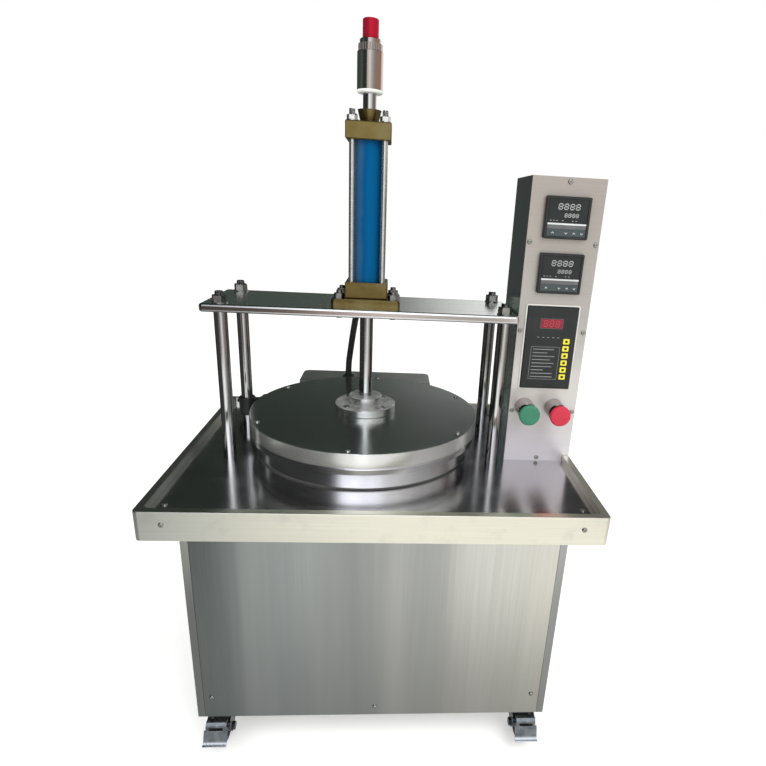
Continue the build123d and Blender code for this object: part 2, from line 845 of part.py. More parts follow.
# Bolts that hold the cylinder's flange down on the top plate
flange_nut = hex_nut(bolt_flats, bolt_nut_height, flange_bolt + 2 * fit_gap)
with BuildPart() as flange_bolts:
    bolt_bottom = plate_bottom - bolt_nut_height - bolt_tip_under
    bolt_top = flange_top + bolt_nut_height + bolt_tip
    with BuildSketch(Plane.XY.offset(bolt_bottom)):
        with Locations(*flange_points):
            Circle(flange_bolt / 2)
    extrude(amount=bolt_top - bolt_bottom)
    for x, y in flange_points:
        with Locations((x, y, flange_top)):
            add(flange_nut)
        with Locations((x, y, plate_bottom - bolt_nut_height)):
            add(flange_nut)
write(flange_bolts, "flange_bolts")

# Rod, piston, stop sleeve, lock ring and cap: they move with the upper platen
thread_bottom = sleeve_bottom
thread_top = cap_top - cap_wall - fit_gap
with BuildPart() as piston_rod:
    for bottom, top, diameter in (
        (rod_bottom, piston_bottom, lower_rod_diameter),
        (piston_bottom, thread_bottom, upper_rod_diameter),
        (thread_bottom, thread_top, rod_thread_diameter),
    ):
        with BuildSketch(Plane.XY.offset(bottom)):
            with Locations((press_offset, 0)):
                Circle(diameter / 2)
        extrude(amount=top - bottom)
write(piston_rod, "piston_rod")

piston_diameter = tube_diameter - 2 * tube_wall - 2 * piston_gap
with BuildPart() as piston:
    add(ring(piston_diameter, upper_rod_diameter + 2 * fit_gap, piston_bottom, piston_height))
write(piston, "piston")

with BuildPart() as stroke_sleeve:
    add(ring(sleeve_diameter, rod_thread_diameter + 2 * fit_gap, sleeve_bottom, sleeve_length))
    chamfer(
        stroke_sleeve.edges().group_by(Axis.Z)[0].sort_by(SortBy.RADIUS)[-1],
        sleeve_chamfer,
    )
    chamfer(
        stroke_sleeve.edges().group_by(Axis.Z)[-1].sort_by(SortBy.RADIUS)[-1],
        sleeve_top_chamfer,
    )
write(stroke_sleeve, "stroke_sleeve")

with BuildPart() as lock_ring:
    with BuildSketch(Plane.XY.offset(sleeve_top)):
        with Locations((press_offset, 0)):
            Circle(ring_knurl_diameter / 2)
            with PolarLocations(ring_knurl_diameter / 2, knurl_count):
                Circle(knurl_depth, mode=Mode.SUBTRACT)
    extrude(amount=ring_knurl_height)
    with BuildSketch(Plane.XY.offset(sleeve_top + ring_knurl_height)):
        with Locations((press_offset, 0)):
            Circle(ring_neck_diameter / 2)
    extrude(amount=ring_neck_height)
    chamfer(lock_ring.edges().group_by(Axis.Z)[-1], knurl_depth)
    with BuildSketch(Plane.XY.offset(sleeve_top)):
        with Locations((press_offset, 0)):
            Circle(rod_thread_diameter / 2 + fit_gap)
    extrude(amount=ring_knurl_height + ring_neck_height, mode=Mode.SUBTRACT)
write(lock_ring, "lock_ring")

with BuildPart() as rod_cap:
    with BuildSketch(Plane.XY.offset(ring_top)):
        with Locations((press_offset, 0)):
            Circle(cap_diameter / 2)
    extrude(amount=cap_length)
    fillet(rod_cap.edges().group_by(Axis.Z)[-1], cap_round)
    with BuildSketch(Plane.XY.offset(ring_top)):
        with Locations((press_offset, 0)):
            Circle(rod_thread_diameter / 2 + fit_gap)
    extrude(amount=cap_length - cap_wall, mode=Mode.SUBTRACT)
write(rod_cap, "rod_cap")

# Lower platen on its insulating disc, with its heater set into the underside
with BuildPart() as lower_insulation:
    with BuildSketch(Plane.XY.offset(table_top)):
        with Locations((press_offset, 0)):
            Circle(lower_diameter / 2 - lower_insulation_inset)
    extrude(amount=lower_insulation_thickness)
write(lower_insulation, "lower_insulation")

with BuildPart() as lower_platen:
    with BuildSketch(Plane.XY.offset(lower_bottom)):
        with Locations((press_offset, 0)):
            Circle(lower_diameter / 2)
    extrude(amount=lower_height)
    chamfer(lower_platen.edges(), platen_edge)
    with BuildSketch(Plane.XY.offset(lower_bottom)):
        with Locations((press_offset, 0)):
            Circle(heater_outer / 2 + heater_gap)
            Circle(heater_inner / 2 - heater_gap, mode=Mode.SUBTRACT)
    extrude(amount=heater_thickness, mode=Mode.SUBTRACT)
write(lower_platen, "lower_platen")

for name, bottom in (("lower_heater", lower_bottom), ("upper_heater", upper_top)):
    with BuildPart() as heater:
        add(ring(heater_outer, heater_inner, bottom, heater_thickness))
    write(heater, name)

# Upper platen: a plate with a wall under the cover's edge and a boss under the hub
gland_angle = radians(platen_gland_turn)
gland_z = upper_bottom + platen_gland_up
gland_seat = upper_diameter / 2
gland_plane = Plane(
    origin=(press_offset + gland_seat * cos(gland_angle), gland_seat * sin(gland_angle), gland_z),
    x_dir=(-sin(gland_angle), cos(gland_angle), 0),
    z_dir=(cos(gland_angle), sin(gland_angle), 0),
)
wall_outer = upper_diameter - 2 * cover_sheet - 2 * cover_gap
wall_inner = wall_outer - 2 * cover_rim
hub_bolt_points = [
    (
        press_offset + hub_bolt_circle / 2 * cos(radians(45 + 360 / hub_bolt_count * i)),
        hub_bolt_circle / 2 * sin(radians(45 + 360 / hub_bolt_count * i)),
    )
    for i in range(hub_bolt_count)
]
cover_screw_points = [
    (
        press_offset + cover_screw_circle / 2 * cos(radians(cover_screw_turn + 360 / cover_screw_count * i)),
        cover_screw_circle / 2 * sin(radians(cover_screw_turn + 360 / cover_screw_count * i)),
    )
    for i in range(cover_screw_count)
]
with BuildPart() as upper_platen:
    with BuildSketch(Plane.XY.offset(upper_bottom)):
        with Locations((press_offset, 0)):
            Circle(upper_diameter / 2)
    extrude(amount=upper_thickness)
    chamfer(upper_platen.edges(), platen_edge)
    with BuildSketch(Plane.XY.offset(upper_top)):
        with Locations((press_offset, 0)):
            Circle(wall_outer / 2)
            Circle(wall_inner / 2, mode=Mode.SUBTRACT)
            Circle(hub_flange_diameter / 2)
    extrude(amount=cover_under - upper_top)
    with BuildSketch(Plane.XY.offset(cover_under)):
        with Locations(*hub_bolt_points):
            Circle(hub_bolt / 2 + column_slack)
        with Locations(*cover_screw_points):
            Circle(screw_hole)
    extrude(amount=-(cover_under - upper_top), mode=Mode.SUBTRACT)
    with BuildSketch(gland_plane):
        Circle(lead_diameter / 2 + column_slack)
    extrude(amount=-(cover_rim + cover_sheet + 2 * cover_gap), mode=Mode.SUBTRACT)
write(upper_platen, "upper_platen")

with BuildPart() as upper_insulation:
    add(
        ring(
            heater_outer,
            heater_inner,
            upper_top + heater_thickness,
            cover_under - upper_top - heater_thickness - heater_gap,
        )
    )
write(upper_insulation, "upper_insulation")

with BuildPart() as platen_cover:
    with BuildSketch(Plane.XY.offset(cover_bottom)):
        with Locations((press_offset, 0)):
            Circle(upper_diameter / 2)
    extrude(amount=cover_height)
    fillet(platen_cover.edges().group_by(Axis.Z)[-1], platen_edge)
    with BuildSketch(Plane.XY.offset(cover_bottom)):
        with Locations((press_offset, 0)):
            Circle(upper_diameter / 2 - cover_sheet)
    extrude(amount=cover_height - cover_sheet, mode=Mode.SUBTRACT)
    with BuildSketch(Plane.XY.offset(cover_under)):
        with Locations(*hub_bolt_points):
            Circle(hub_bolt / 2 + column_slack)
        with Locations(*cover_screw_points):
            Circle(screw_hole)
    extrude(amount=cover_sheet, mode=Mode.SUBTRACT)
    with BuildSketch(gland_plane):
        Circle(platen_gland_diameter / 2 - lead_diameter / 4)
    extrude(amount=-cover_sheet * 2, mode=Mode.SUBTRACT)
write(platen_cover, "platen_cover")

with BuildPart() as rod_hub:
    with BuildSketch(Plane.XY.offset(cover_top)):
        with Locations((press_offset, 0)):
            Circle(hub_flange_diameter / 2)
    extrude(amount=hub_flange_height)
    chamfer(rod_hub.edges(), platen_edge)
    with BuildSketch(Plane.XY.offset(cover_top + hub_flange_height)):
        with Locations((press_offset, 0)):
            Circle(hub_boss_diameter / 2)
    extrude(amount=hub_boss_height)
    chamfer(rod_hub.edges().group_by(Axis.Z)[-1], platen_edge)
    with BuildSketch(Plane.XY.offset(rod_bottom)):
        with Locations((press_offset, 0)):
            Circle(lower_rod_diameter / 2 + fit_gap)
    extrude(amount=rod_seat, mode=Mode.SUBTRACT)
    with BuildSketch(Plane.XY.offset(cover_top)):
        with Locations(*hub_bolt_points):
            Circle(hub_bolt / 2 + column_slack)
    extrude(amount=hub_flange_height, mode=Mode.SUBTRACT)
    with BuildSketch(Plane.XY.offset(cover_top + hub_flange_height)):
        with Locations(*hub_bolt_points):
            Circle(hub_bolt_head / 2 + hub_counterbore_gap)
    extrude(amount=-hub_counterbore, mode=Mode.SUBTRACT)
write(rod_hub, "rod_hub")

hub_screw = socket_screw(
    hub_bolt_head, hub_bolt_head_height, hub_bolt, hub_bolt_length, hub_socket, hub_socket_depth
)
casing_screw = pan_screw(screw_head, screw_head_height, screw_shank, screw_length)
with BuildPart() as platen_screws:
    for x, y in hub_bolt_points:
        with Locations((x, y, cover_top + hub_flange_height - hub_counterbore)):
            add(hub_screw)
    for x, y in cover_screw_points:
        with Locations((x, y, cover_top)):
            add(casing_screw)
write(platen_screws, "platen_screws")

# Gland where the heater's lead leaves the upper platen
with BuildPart() as platen_gland:
    with BuildSketch(gland_plane):
        Circle(platen_gland_diameter / 2)
    extrude(amount=platen_gland_length * 0.4)
    with BuildSketch(gland_plane.offset(platen_gland_length * 0.4)):
        Circle(platen_gland_diameter / 2)
    with BuildSketch(gland_plane.offset(platen_gland_length)):
        Circle(lead_diameter / 2 + platen_gland_wall)
    loft()
write(platen_gland, "platen_gland")

# Clamp on the rear left column that holds the other end of the lead
clamp_x, clamp_y = column_points[2]
clamp_bottom = table_top + clamp_up
clamp_angle = radians(clamp_turn)
clamp_z = clamp_bottom + clamp_height / 2
boss_end = clamp_diameter / 2 + clamp_boss_length
boss_plane = Plane(
    origin=(clamp_x, clamp_y, clamp_z),
    x_dir=(-sin(clamp_angle), cos(clamp_angle), 0),
    z_dir=(cos(clamp_angle), sin(clamp_angle), 0),
)
with BuildPart() as lead_clamp:
    with BuildSketch(Plane.XY.offset(clamp_bottom)):
        with Locations((clamp_x, clamp_y)):
            Circle(clamp_diameter / 2)
    extrude(amount=clamp_height)
    fillet(lead_clamp.edges().filter_by(GeomType.CIRCLE), sheet)
    with BuildSketch(boss_plane):
        Circle(clamp_boss / 2)
    extrude(amount=boss_end)
    with BuildSketch(Plane.XY.offset(clamp_bottom)):
        with Locations((clamp_x, clamp_y)):
            Circle(column_diameter / 2 + fit_gap)
    extrude(amount=clamp_height, mode=Mode.SUBTRACT)
write(lead_clamp, "lead_clamp")

# Control box: a shell open at the front, notched over the table's rim
box_outline = (
    (box_left, table_top),
    (notch_x, table_top),
    (notch_x, notch_z),
    (box_right, notch_z),
    (box_right, box_top),
    (box_left, box_top),
)
panel_screws = [
    (x, box_top - drop)
    for drop in panel_screw_drops
    for x in (box_left + panel_screw_side, box_right - panel_screw_side)
] + [(box_middle, box_top - panel_screw_end), (box_middle, table_top + panel_screw_end)]
with BuildPart() as control_box:
    with BuildSketch(Plane.XZ.offset(-panel_back)):
        with BuildLine():
            Polyline(*box_outline, close=True)
        make_face()
    extrude(amount=-box_depth)
    with BuildSketch(Plane.XZ.offset(-panel_back - sheet)):
        with BuildLine():
            Polyline(*box_outline, close=True)
        make_face()
        offset(amount=-sheet, kind=Kind.INTERSECTION, mode=Mode.REPLACE)
    extrude(amount=-(box_depth - 2 * sheet), mode=Mode.SUBTRACT)
    with BuildSketch(Plane.XZ.offset(-panel_back)):
        with BuildLine():
            Polyline(*box_outline, close=True)
        make_face()
        offset(amount=-box_flange, kind=Kind.INTERSECTION, mode=Mode.REPLACE)
    extrude(amount=-sheet, mode=Mode.SUBTRACT)
    with BuildSketch(Plane.XZ.offset(-panel_back)):
        with Locations(*panel_screws):
            Circle(screw_hole)
    extrude(amount=-sheet, mode=Mode.SUBTRACT)
write(control_box, "control_box")

controller_points = [(box_middle + controller_offset, box_top - drop) for drop in controller_drops]
timer_point = (box_middle + timer_offset, box_top - timer_drop)
with BuildPart() as control_panel:
    with BuildSketch(Plane.XZ.offset(-panel_face)):
        with BuildLine():
            Polyline(*box_outline, close=True)
        make_face()
        with Locations(*controller_points):
            Rectangle(
                controller_body_x + 2 * cutout_gap, controller_body_z + 2 * cutout_gap, mode=Mode.SUBTRACT
            )
        with Locations(timer_point):
            Rectangle(timer_body_x + 2 * cutout_gap, timer_body_z + 2 * cutout_gap, mode=Mode.SUBTRACT)
        with Locations(*[(x, button_z) for x in button_points.values()]):
            Circle(barrel_diameter / 2 + column_slack, mode=Mode.SUBTRACT)
        with Locations(*panel_screws):
            Circle(screw_hole, mode=Mode.SUBTRACT)
    extrude(amount=-panel_thickness)
write(control_panel, "control_panel")

# Two temperature controllers and the timer: a bezel on the panel and a body behind it
with BuildPart() as temperature_controllers:
    for point in controller_points:
        with BuildSketch(Plane.XZ.offset(-panel_face)):
            with Locations(point):
                RectangleRounded(controller_width, controller_height, controller_round)
        extrude(amount=controller_proud)
    chamfer(temperature_controllers.faces().sort_by(Axis.Y)[:2].edges(), controller_round / 2)
    for point in controller_points:
        with BuildSketch(Plane.XZ.offset(-panel_face)):
            with Locations(point):
                Rectangle(controller_body_x, controller_body_z)
        extrude(amount=-controller_body_depth)
write(temperature_controllers, "temperature_controllers")

with BuildPart() as timer_module:
    with BuildSketch(Plane.XZ.offset(-panel_face)):
        with Locations(timer_point):
            RectangleRounded(timer_width, timer_height, timer_round)
    extrude(amount=timer_proud)
    chamfer(timer_module.faces().sort_by(Axis.Y)[0].edges(), timer_round / 2)
    with BuildSketch(Plane.XZ.offset(-panel_face)):
        with Locations(timer_point):
            Rectangle(timer_body_x, timer_body_z)
    extrude(amount=-timer_body_depth)
write(timer_module, "timer_module")

# Push buttons: a collar and contact block that stay, and a mushroom head on a stem that travels
with BuildPart() as button_bodies:
    for x in button_points.values():
        with BuildSketch(Plane.XZ.offset(-panel_face)):
            with Locations((x, button_z)):
                Circle(collar_diameter / 2)
        extrude(amount=collar_height)
        with BuildSketch(Plane.XZ.offset(-panel_face)):
            with Locations((x, button_z)):
                Circle(barrel_diameter / 2)
        extrude(amount=-(panel_thickness + barrel_length))
        with BuildSketch(Plane.XZ.offset(-panel_back)):
            with Locations((x, button_z)):
                Circle(nut_ring_diameter / 2)
        extrude(amount=-nut_ring_height)
        with BuildSketch(Plane.XZ.offset(-panel_back - barrel_length)):
            with Locations((x, button_z)):
                Rectangle(contact_block_x, contact_block_z)
        extrude(amount=-contact_block_depth)
    chamfer(
        button_bodies.edges().filter_by(GeomType.CIRCLE).group_by(Axis.Y)[0],
        button_round / 2,
    )
    for x in button_points.values():
        with BuildSketch(Plane.XZ.offset(-panel_face + collar_height)):
            with Locations((x, button_z)):
                Circle(button_stem / 2 + running_gap)
        extrude(amount=-(collar_height + stem_depth + button_travel + stem_room), mode=Mode.SUBTRACT)
write(button_bodies, "button_bodies")

for name, x in button_points.items():
    with BuildPart() as button:
        with BuildSketch(Plane.XZ.offset(-panel_face + button_reach - button_head_height)):
            with Locations((x, button_z)):
                Circle(button_head / 2)
        extrude(amount=button_head_height)
        fillet(button.edges().group_by(Axis.Y)[0], button_round)
        chamfer(button.edges().group_by(Axis.Y)[-1], button_round)
        with BuildSketch(Plane.XZ.offset(-panel_face + button_reach - button_head_height)):
            with Locations((x, button_z)):
                Circle(button_stem / 2)
        extrude(amount=-(button_reach - button_head_height + stem_depth))
    write(button, name)

# Box behind the table that takes the hose down to the cabinet
grommet_hole = grommet_diameter / 2 - grommet_lip
with BuildPart() as rear_hose_box:
    with BuildSketch(Plane.XY.offset(skirt_bottom)):
        with Locations((hose_box_x, hose_box_front + hose_box_depth / 2)):
            Rectangle(hose_box_width, hose_box_depth)
    extrude(amount=hose_box_top - skirt_bottom)
    fillet(rear_hose_box.edges().filter_by(Axis.Z).group_by(Axis.Y)[-1], hose_box_corner)
    fillet(rear_hose_box.edges().group_by(Axis.Z)[-1].sort_by(Axis.Y)[1:], rim_fold)
    with BuildSketch(Plane.XY.offset(skirt_bottom + sheet)):
        with Locations((hose_box_x, hose_box_front + hose_box_depth / 2)):
            RectangleRounded(
                hose_box_width - 2 * sheet, hose_box_depth - 2 * sheet, hose_box_corner - sheet
            )
    extrude(amount=hose_box_top - skirt_bottom - 2 * sheet, mode=Mode.SUBTRACT)
    with BuildSketch(Plane.XZ.offset(-hose_box_front)):
        with Locations((hose_box_x, skirt_bottom + hose_window_up + hose_window_z / 2)):
            Rectangle(hose_window_x, hose_window_z)
    extrude(amount=-sheet, mode=Mode.SUBTRACT)
    with BuildSketch(Plane.XY.offset(hose_box_top)):
        with Locations((grommet_x, grommet_y)):
            Circle(grommet_hole + fit_gap)
    extrude(amount=-sheet, mode=Mode.SUBTRACT)
write(rear_hose_box, "rear_hose_box")

# Fittings at the cylinder's two ports and the grommets of the hose and the supply lead
with BuildPart() as hose_fittings:
    for height in fitting_points.values():
        with BuildSketch(Plane.XZ.offset(-block_side / 2)):
            with Locations((press_offset, height)):
                RegularPolygon(fitting_flats / 2, 6, major_radius=False)
        extrude(amount=-fitting_nut)
        with BuildSketch(Plane.XZ.offset(-block_side / 2)):
            with Locations((press_offset, height)):
                Circle(port_diameter / 2 - fit_gap)
        extrude(amount=port_depth)
    with BuildSketch(Plane.XZ.offset(-block_side / 2 - fitting_nut)):
        with Locations((press_offset, fitting_points["lower"])):
            Circle(fitting_ferrule / 2)
    extrude(amount=-fitting_ferrule_length)
write(hose_fittings, "hose_fittings")

with BuildPart() as hose_grommets:
    with BuildSketch(Plane.XY.offset(hose_box_top)):
        with Locations((grommet_x, grommet_y)):
            Circle(grommet_diameter / 2)
    extrude(amount=grommet_height)
    fillet(hose_grommets.edges().group_by(Axis.Z)[-1], grommet_lip * 0.7)
    with BuildSketch(Plane.XY.offset(hose_box_top)):
        with Locations((grommet_x, grommet_y)):
            Circle(grommet_hole)
    extrude(amount=-2 * sheet)
    with BuildSketch(Plane.XZ.offset(-cabinet_back - sheet)):
        with Locations((mains_gland_x, mains_gland_z)):
            Circle(grommet_diameter / 2)
    extrude(amount=-grommet_height)
    with BuildSketch(Plane.XZ.offset(-cabinet_back - sheet)):
        with Locations((mains_gland_x, mains_gland_z)):
            Circle(grommet_hole)
    extrude(amount=2 * sheet)
write(hose_grommets, "hose_grommets")

# Hose: out of the lower port, over the back of the top plate and down to the grommet
def arc_radii(points):
    """Corner radii of a cord's tube: 0.45 of the shorter run over the tangent of half the turn."""
    runs = [Vector(b) - Vector(a) for a, b in zip(points, points[1:])]
    return [
        0.45 * min(a.length, b.length) / tan(radians(a.get_angle(b)) / 2) for a, b in zip(runs, runs[1:])
    ]


def cord_tube(name, points, diameter):
    """A round tube along straight runs and tangent arcs."""
    radii = arc_radii(points)
    with BuildPart() as made:
        with BuildLine() as path:
            FilletPolyline(*points, radius=radii)
        with BuildSketch(Plane(origin=path.line @ 0, z_dir=path.line % 0)):
            Circle(diameter / 2)
        sweep()
    length = sum(edge.length for edge in path.edges())
    expected = pi * diameter**2 / 4 * length
    print(
        name,
        "length",
        round(length, 1),
        "radii",
        [round(r) for r in radii],
        "volume share",
        round(made.part.volume / expected, 4),
    )
    return made


hydraulic_hose = cord_tube("hydraulic_hose", hose_points, hose_diameter)
write(hydraulic_hose, "hydraulic_hose")

# Lead: from the clamp on the column, in a slack loop, to the gland on the upper platen
lead_start = boss_plane.origin + boss_plane.z_dir * boss_end
lead_end = gland_plane.origin + gland_plane.z_dir * platen_gland_length
lead_points = [
    tuple(lead_start),
    tuple(lead_start + boss_plane.z_dir * lead_straight),
    *[tuple(lead_start + Vector(step)) for step in lead_steps],
    tuple(lead_end + gland_plane.z_dir * lead_straight),
    tuple(lead_end),
]
heater_lead = cord_tube("heater_lead", lead_points, lead_diameter)
write(heater_lead, "heater_lead")

# Screws of the casings
with BuildPart() as casing_screws:
    for x, z in front_screws:
        with Locations(Location((x, cabinet_front, z), (90, 0, 0))):
            add(casing_screw)
    for x, z in fascia_screws:
        with Locations(Location((x, table_front, z), (90, 0, 0))):
            add(casing_screw)
    for x, y in table_screws:
        with Locations((x, y, table_top)):
            add(casing_screw)
    for x, z in rear_screws:
        with Locations(Location((x, cabinet_back + sheet, z), (-90, 0, 0))):
            add(casing_screw)
    for x, z in panel_screws:
        with Locations(Location((x, panel_face, z), (90, 0, 0))):
            add(casing_screw)
write(casing_screws, "casing_screws")

# Hydraulic unit in the cabinet: tank, pump motor on its lid, valve block
tank_bottom = cabinet_bottom + sheet
tank_x_middle = tank_offset_x
tank_y_middle = cabinet_middle
lid_top = tank_bottom + tank_height + tank_lid
with BuildPart() as oil_tank:
    with BuildSketch(Plane.XY.offset(tank_bottom)):
        with Locations((tank_x_middle, tank_y_middle)):
            RectangleRounded(tank_x, tank_y, tank_corner)
    extrude(amount=tank_height)
    with BuildSketch(Plane.XY.offset(tank_bottom + tank_wall)):
        with Locations((tank_x_middle, tank_y_middle)):
            RectangleRounded(tank_x - 2 * tank_wall, tank_y - 2 * tank_wall, tank_corner - tank_wall)
    extrude(amount=tank_height - tank_wall, mode=Mode.SUBTRACT)
    with BuildSketch(Plane.XY.offset(tank_bottom + tank_height)):
        with Locations((tank_x_middle, tank_y_middle)):
            RectangleRounded(tank_x + tank_lid_lap, tank_y + tank_lid_lap, tank_corner)
    extrude(amount=tank_lid)
write(oil_tank, "oil_tank")

motor_x = tank_x_middle + motor_offset_x
with BuildPart() as pump_motor:
    with BuildSketch(Plane.XY.offset(lid_top)):
        with Locations((motor_x, tank_y_middle)):
            Circle(motor_flange / 2)
    extrude(amount=motor_flange_height)
    with BuildSketch(Plane.XY.offset(lid_top + motor_flange_height)):
        with Locations((motor_x, tank_y_middle)):
            Circle(motor_diameter / 2 - motor_fin_height)
            with PolarLocations(motor_diameter / 2 - motor_fin_height, motor_fins):
                Rectangle(2 * motor_fin_height, motor_fin_width)
    extrude(amount=motor_height - motor_flange_height - motor_cowl)
    with BuildSketch(Plane.XY.offset(lid_top + motor_height - motor_cowl)):
        with Locations((motor_x, tank_y_middle)):
            Circle(motor_diameter / 2)
    extrude(amount=motor_cowl)
    fillet(pump_motor.edges().group_by(Axis.Z)[-1], tank_corner)
write(pump_motor, "pump_motor")

valve_x_middle = tank_x_middle + valve_offset_x
with BuildPart() as valve_block:
    with BuildSketch(Plane.XY.offset(lid_top)):
        with Locations((valve_x_middle, tank_y_middle)):
            Rectangle(valve_x, valve_y)
    extrude(amount=valve_height)
    chamfer(valve_block.edges().filter_by(Axis.Z), block_edge)
    for side in (-1, 1):
        with BuildSketch(Plane.XZ.offset(-tank_y_middle - side * valve_y / 2)):
            with Locations((valve_x_middle, lid_top + valve_height * 0.7)):
                Circle(solenoid_diameter / 2)
        extrude(amount=-side * solenoid_length)
write(valve_block, "valve_block")

# Casters: plate and raceway on the cabinet, fork that swivels, wheel, and a brake pedal on the front pair
plate_underside = cabinet_bottom - caster_plate_thickness
raceway_bottom = plate_underside - raceway_height
crown_top = raceway_bottom - swivel_gap
axle_z = wheel_diameter / 2
caster_screw = pan_screw(caster_bolt_head, caster_bolt_head_height, caster_bolt, caster_plate_thickness + sheet)
with BuildPart() as caster_plates:
    with BuildSketch(Plane.XY.offset(plate_underside)):
        with Locations(*caster_points):
            RectangleRounded(caster_plate_x, caster_plate_y, caster_bolt)
            with GridLocations(caster_bolt_x, caster_bolt_y, 2, 2):
                Circle(caster_bolt / 2 + screw_slack, mode=Mode.SUBTRACT)
    extrude(amount=caster_plate_thickness)
    with BuildSketch(Plane.XY.offset(raceway_bottom)):
        with Locations(*caster_points):
            Circle(raceway_diameter / 2)
            Circle(kingpin_diameter / 2 + running_gap, mode=Mode.SUBTRACT)
    extrude(amount=raceway_height)
    for x, y in caster_points:
        for side_x in (-1, 1):
            for side_y in (-1, 1):
                bolt_x = x + side_x * caster_bolt_x / 2
                bolt_y = y + side_y * caster_bolt_y / 2
                with Locations(Location((bolt_x, bolt_y, plate_underside), (180, 0, 0))):
                    add(caster_screw)
write(caster_plates, "caster_plates")

leg_inside = wheel_width / 2 + wheel_side_gap
leg_outside = leg_inside + fork_leg
pivot_z = axle_z + pedal_pivot_up
ear_outside = leg_inside - pedal_ear_gap
ear_inside = ear_outside - pedal_sheet
hub_length = 2 * (leg_inside - wheel_hub_gap)
caster_names = ("front_left", "front_right", "rear_left", "rear_right")


def is_tread(edge):
    """True for the two round edges of a wheel's tread."""
    return edge.radius > axle_diameter


for (x, y), name in zip(caster_points, caster_names):
    axle_y = y - wheel_trail
    pivot_y = axle_y - pedal_pivot_ahead
    braked = name.startswith("front")
    with BuildPart() as fork:
        with BuildSketch(Plane.XY.offset(crown_top - fork_crown)):
            with Locations((x, y)):
                RectangleRounded(2 * leg_outside, fork_width, fork_leg)
        extrude(amount=fork_crown)
        with BuildSketch(Plane.XY.offset(crown_top)):
            with Locations((x, y)):
                Circle(kingpin_diameter / 2)
        extrude(amount=raceway_height)
        for side in (-1, 1):
            with BuildSketch(Plane.YZ.offset(x + side * (leg_inside + leg_outside) / 2)):
                with Locations((y, crown_top - fork_crown)):
                    Rectangle(fork_width - 2 * fork_leg, fork_crown)
                with Locations((axle_y, axle_z)):
                    Circle(fork_eye)
                if braked:
                    with Locations((pivot_y, pivot_z)):
                        Circle(pedal_ear)
                make_hull()
            extrude(amount=fork_leg / 2, both=True)
        with BuildSketch(Plane.YZ.offset(x)):
            with Locations((axle_y, axle_z)):
                Circle(axle_diameter / 2)
        extrude(amount=leg_outside, both=True)
        for side in (-1, 1):
            with BuildSketch(Plane.YZ.offset(x + side * leg_outside)):
                with Locations((axle_y, axle_z)):
                    RegularPolygon(axle_head / 2, 6, major_radius=False)
            extrude(amount=side * axle_head_height)
            if braked:
                with BuildSketch(Plane.YZ.offset(x + side * leg_inside)):
                    with Locations((pivot_y, pivot_z)):
                        Circle(pedal_rivet / 2)
                extrude(amount=-side * (pedal_ear_gap * 2 + pedal_sheet))
                with BuildSketch(Plane.YZ.offset(x + side * (ear_inside - pedal_ear_gap))):
                    with Locations((pivot_y, pivot_z)):
                        Circle(pedal_rivet_head / 2)
                extrude(amount=-side * pedal_rivet_head_height)
                with BuildSketch(Plane.YZ.offset(x + side * leg_outside)):
                    with Locations((pivot_y, pivot_z)):
                        Circle(pedal_rivet_head / 2)
                extrude(amount=side * pedal_rivet_head_height)
    write(fork, f"caster_fork_{name}")

    with BuildPart() as wheel:
        with BuildSketch(Plane.YZ.offset(x)):
            with Locations((axle_y, axle_z)):
                Circle(wheel_diameter / 2)
                Circle(axle_diameter / 2 + running_gap, mode=Mode.SUBTRACT)
        extrude(amount=wheel_width / 2, both=True)
        fillet(wheel.edges().filter_by(GeomType.CIRCLE).filter_by(is_tread), sheet)
        for side in (-1, 1):
            with BuildSketch(Plane.YZ.offset(x + side * wheel_width / 2)):
                with Locations((axle_y, axle_z)):
                    Circle(wheel_rim)
                    Circle(wheel_hub_diameter / 2, mode=Mode.SUBTRACT)
            extrude(amount=-side * (wheel_width - wheel_web) / 2, mode=Mode.SUBTRACT)
        with BuildSketch(Plane.YZ.offset(x)):
            with Locations((axle_y, axle_z)):
                Circle(wheel_hub_diameter / 2)
                Circle(axle_diameter / 2 + running_gap, mode=Mode.SUBTRACT)
        extrude(amount=hub_length / 2, both=True)
    write(wheel, f"caster_wheel_{name}")

    if braked:
        hood = [(pivot_y + ahead, pivot_z + rise) for ahead, rise in pedal_hood]
        toe = (pivot_y - pedal_reach, pivot_z - pedal_fall)
        lip = (toe[0] - pedal_lip, toe[1] + pedal_lip * 0.3)
        with BuildPart() as pedal:
            with BuildSketch(Plane.YZ.offset(x)):
                with BuildLine() as bridge:
                    Polyline(*hood)
                    offset(amount=pedal_sheet / 2, side=Side.BOTH)
                make_face()
            extrude(amount=ear_outside, both=True)
            with BuildSketch(Plane.YZ.offset(x)):
                with BuildLine() as tread:
                    Polyline(hood[-1], toe, lip)
                    offset(amount=pedal_sheet / 2, side=Side.BOTH)
                make_face()
            extrude(amount=pedal_width / 2, both=True)
            with BuildSketch(Plane.XZ.offset(-pivot_y)):
                with Locations((x, pivot_z + pedal_slot_up)):
                    SlotOverall(pedal_slot_width, pedal_slot_height)
            extrude(amount=pedal_reach, mode=Mode.SUBTRACT)
            for side in (-1, 1):
                with BuildSketch(Plane.YZ.offset(x + side * ear_inside)):
                    with Locations((pivot_y, pivot_z)):
                        Circle(pedal_ear)
                    with Locations(*hood[1:]):
                        Circle(pedal_sheet / 2)
                    make_hull()
                    with Locations((pivot_y, pivot_z)):
                        Circle(pedal_rivet / 2 + running_gap, mode=Mode.SUBTRACT)
                extrude(amount=side * pedal_sheet)
        write(pedal, f"brake_pedal_{name}")
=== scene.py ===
from math import cos, pi, prod, radians, sin

import bmesh
import bpy
from mathutils import Matrix, Vector


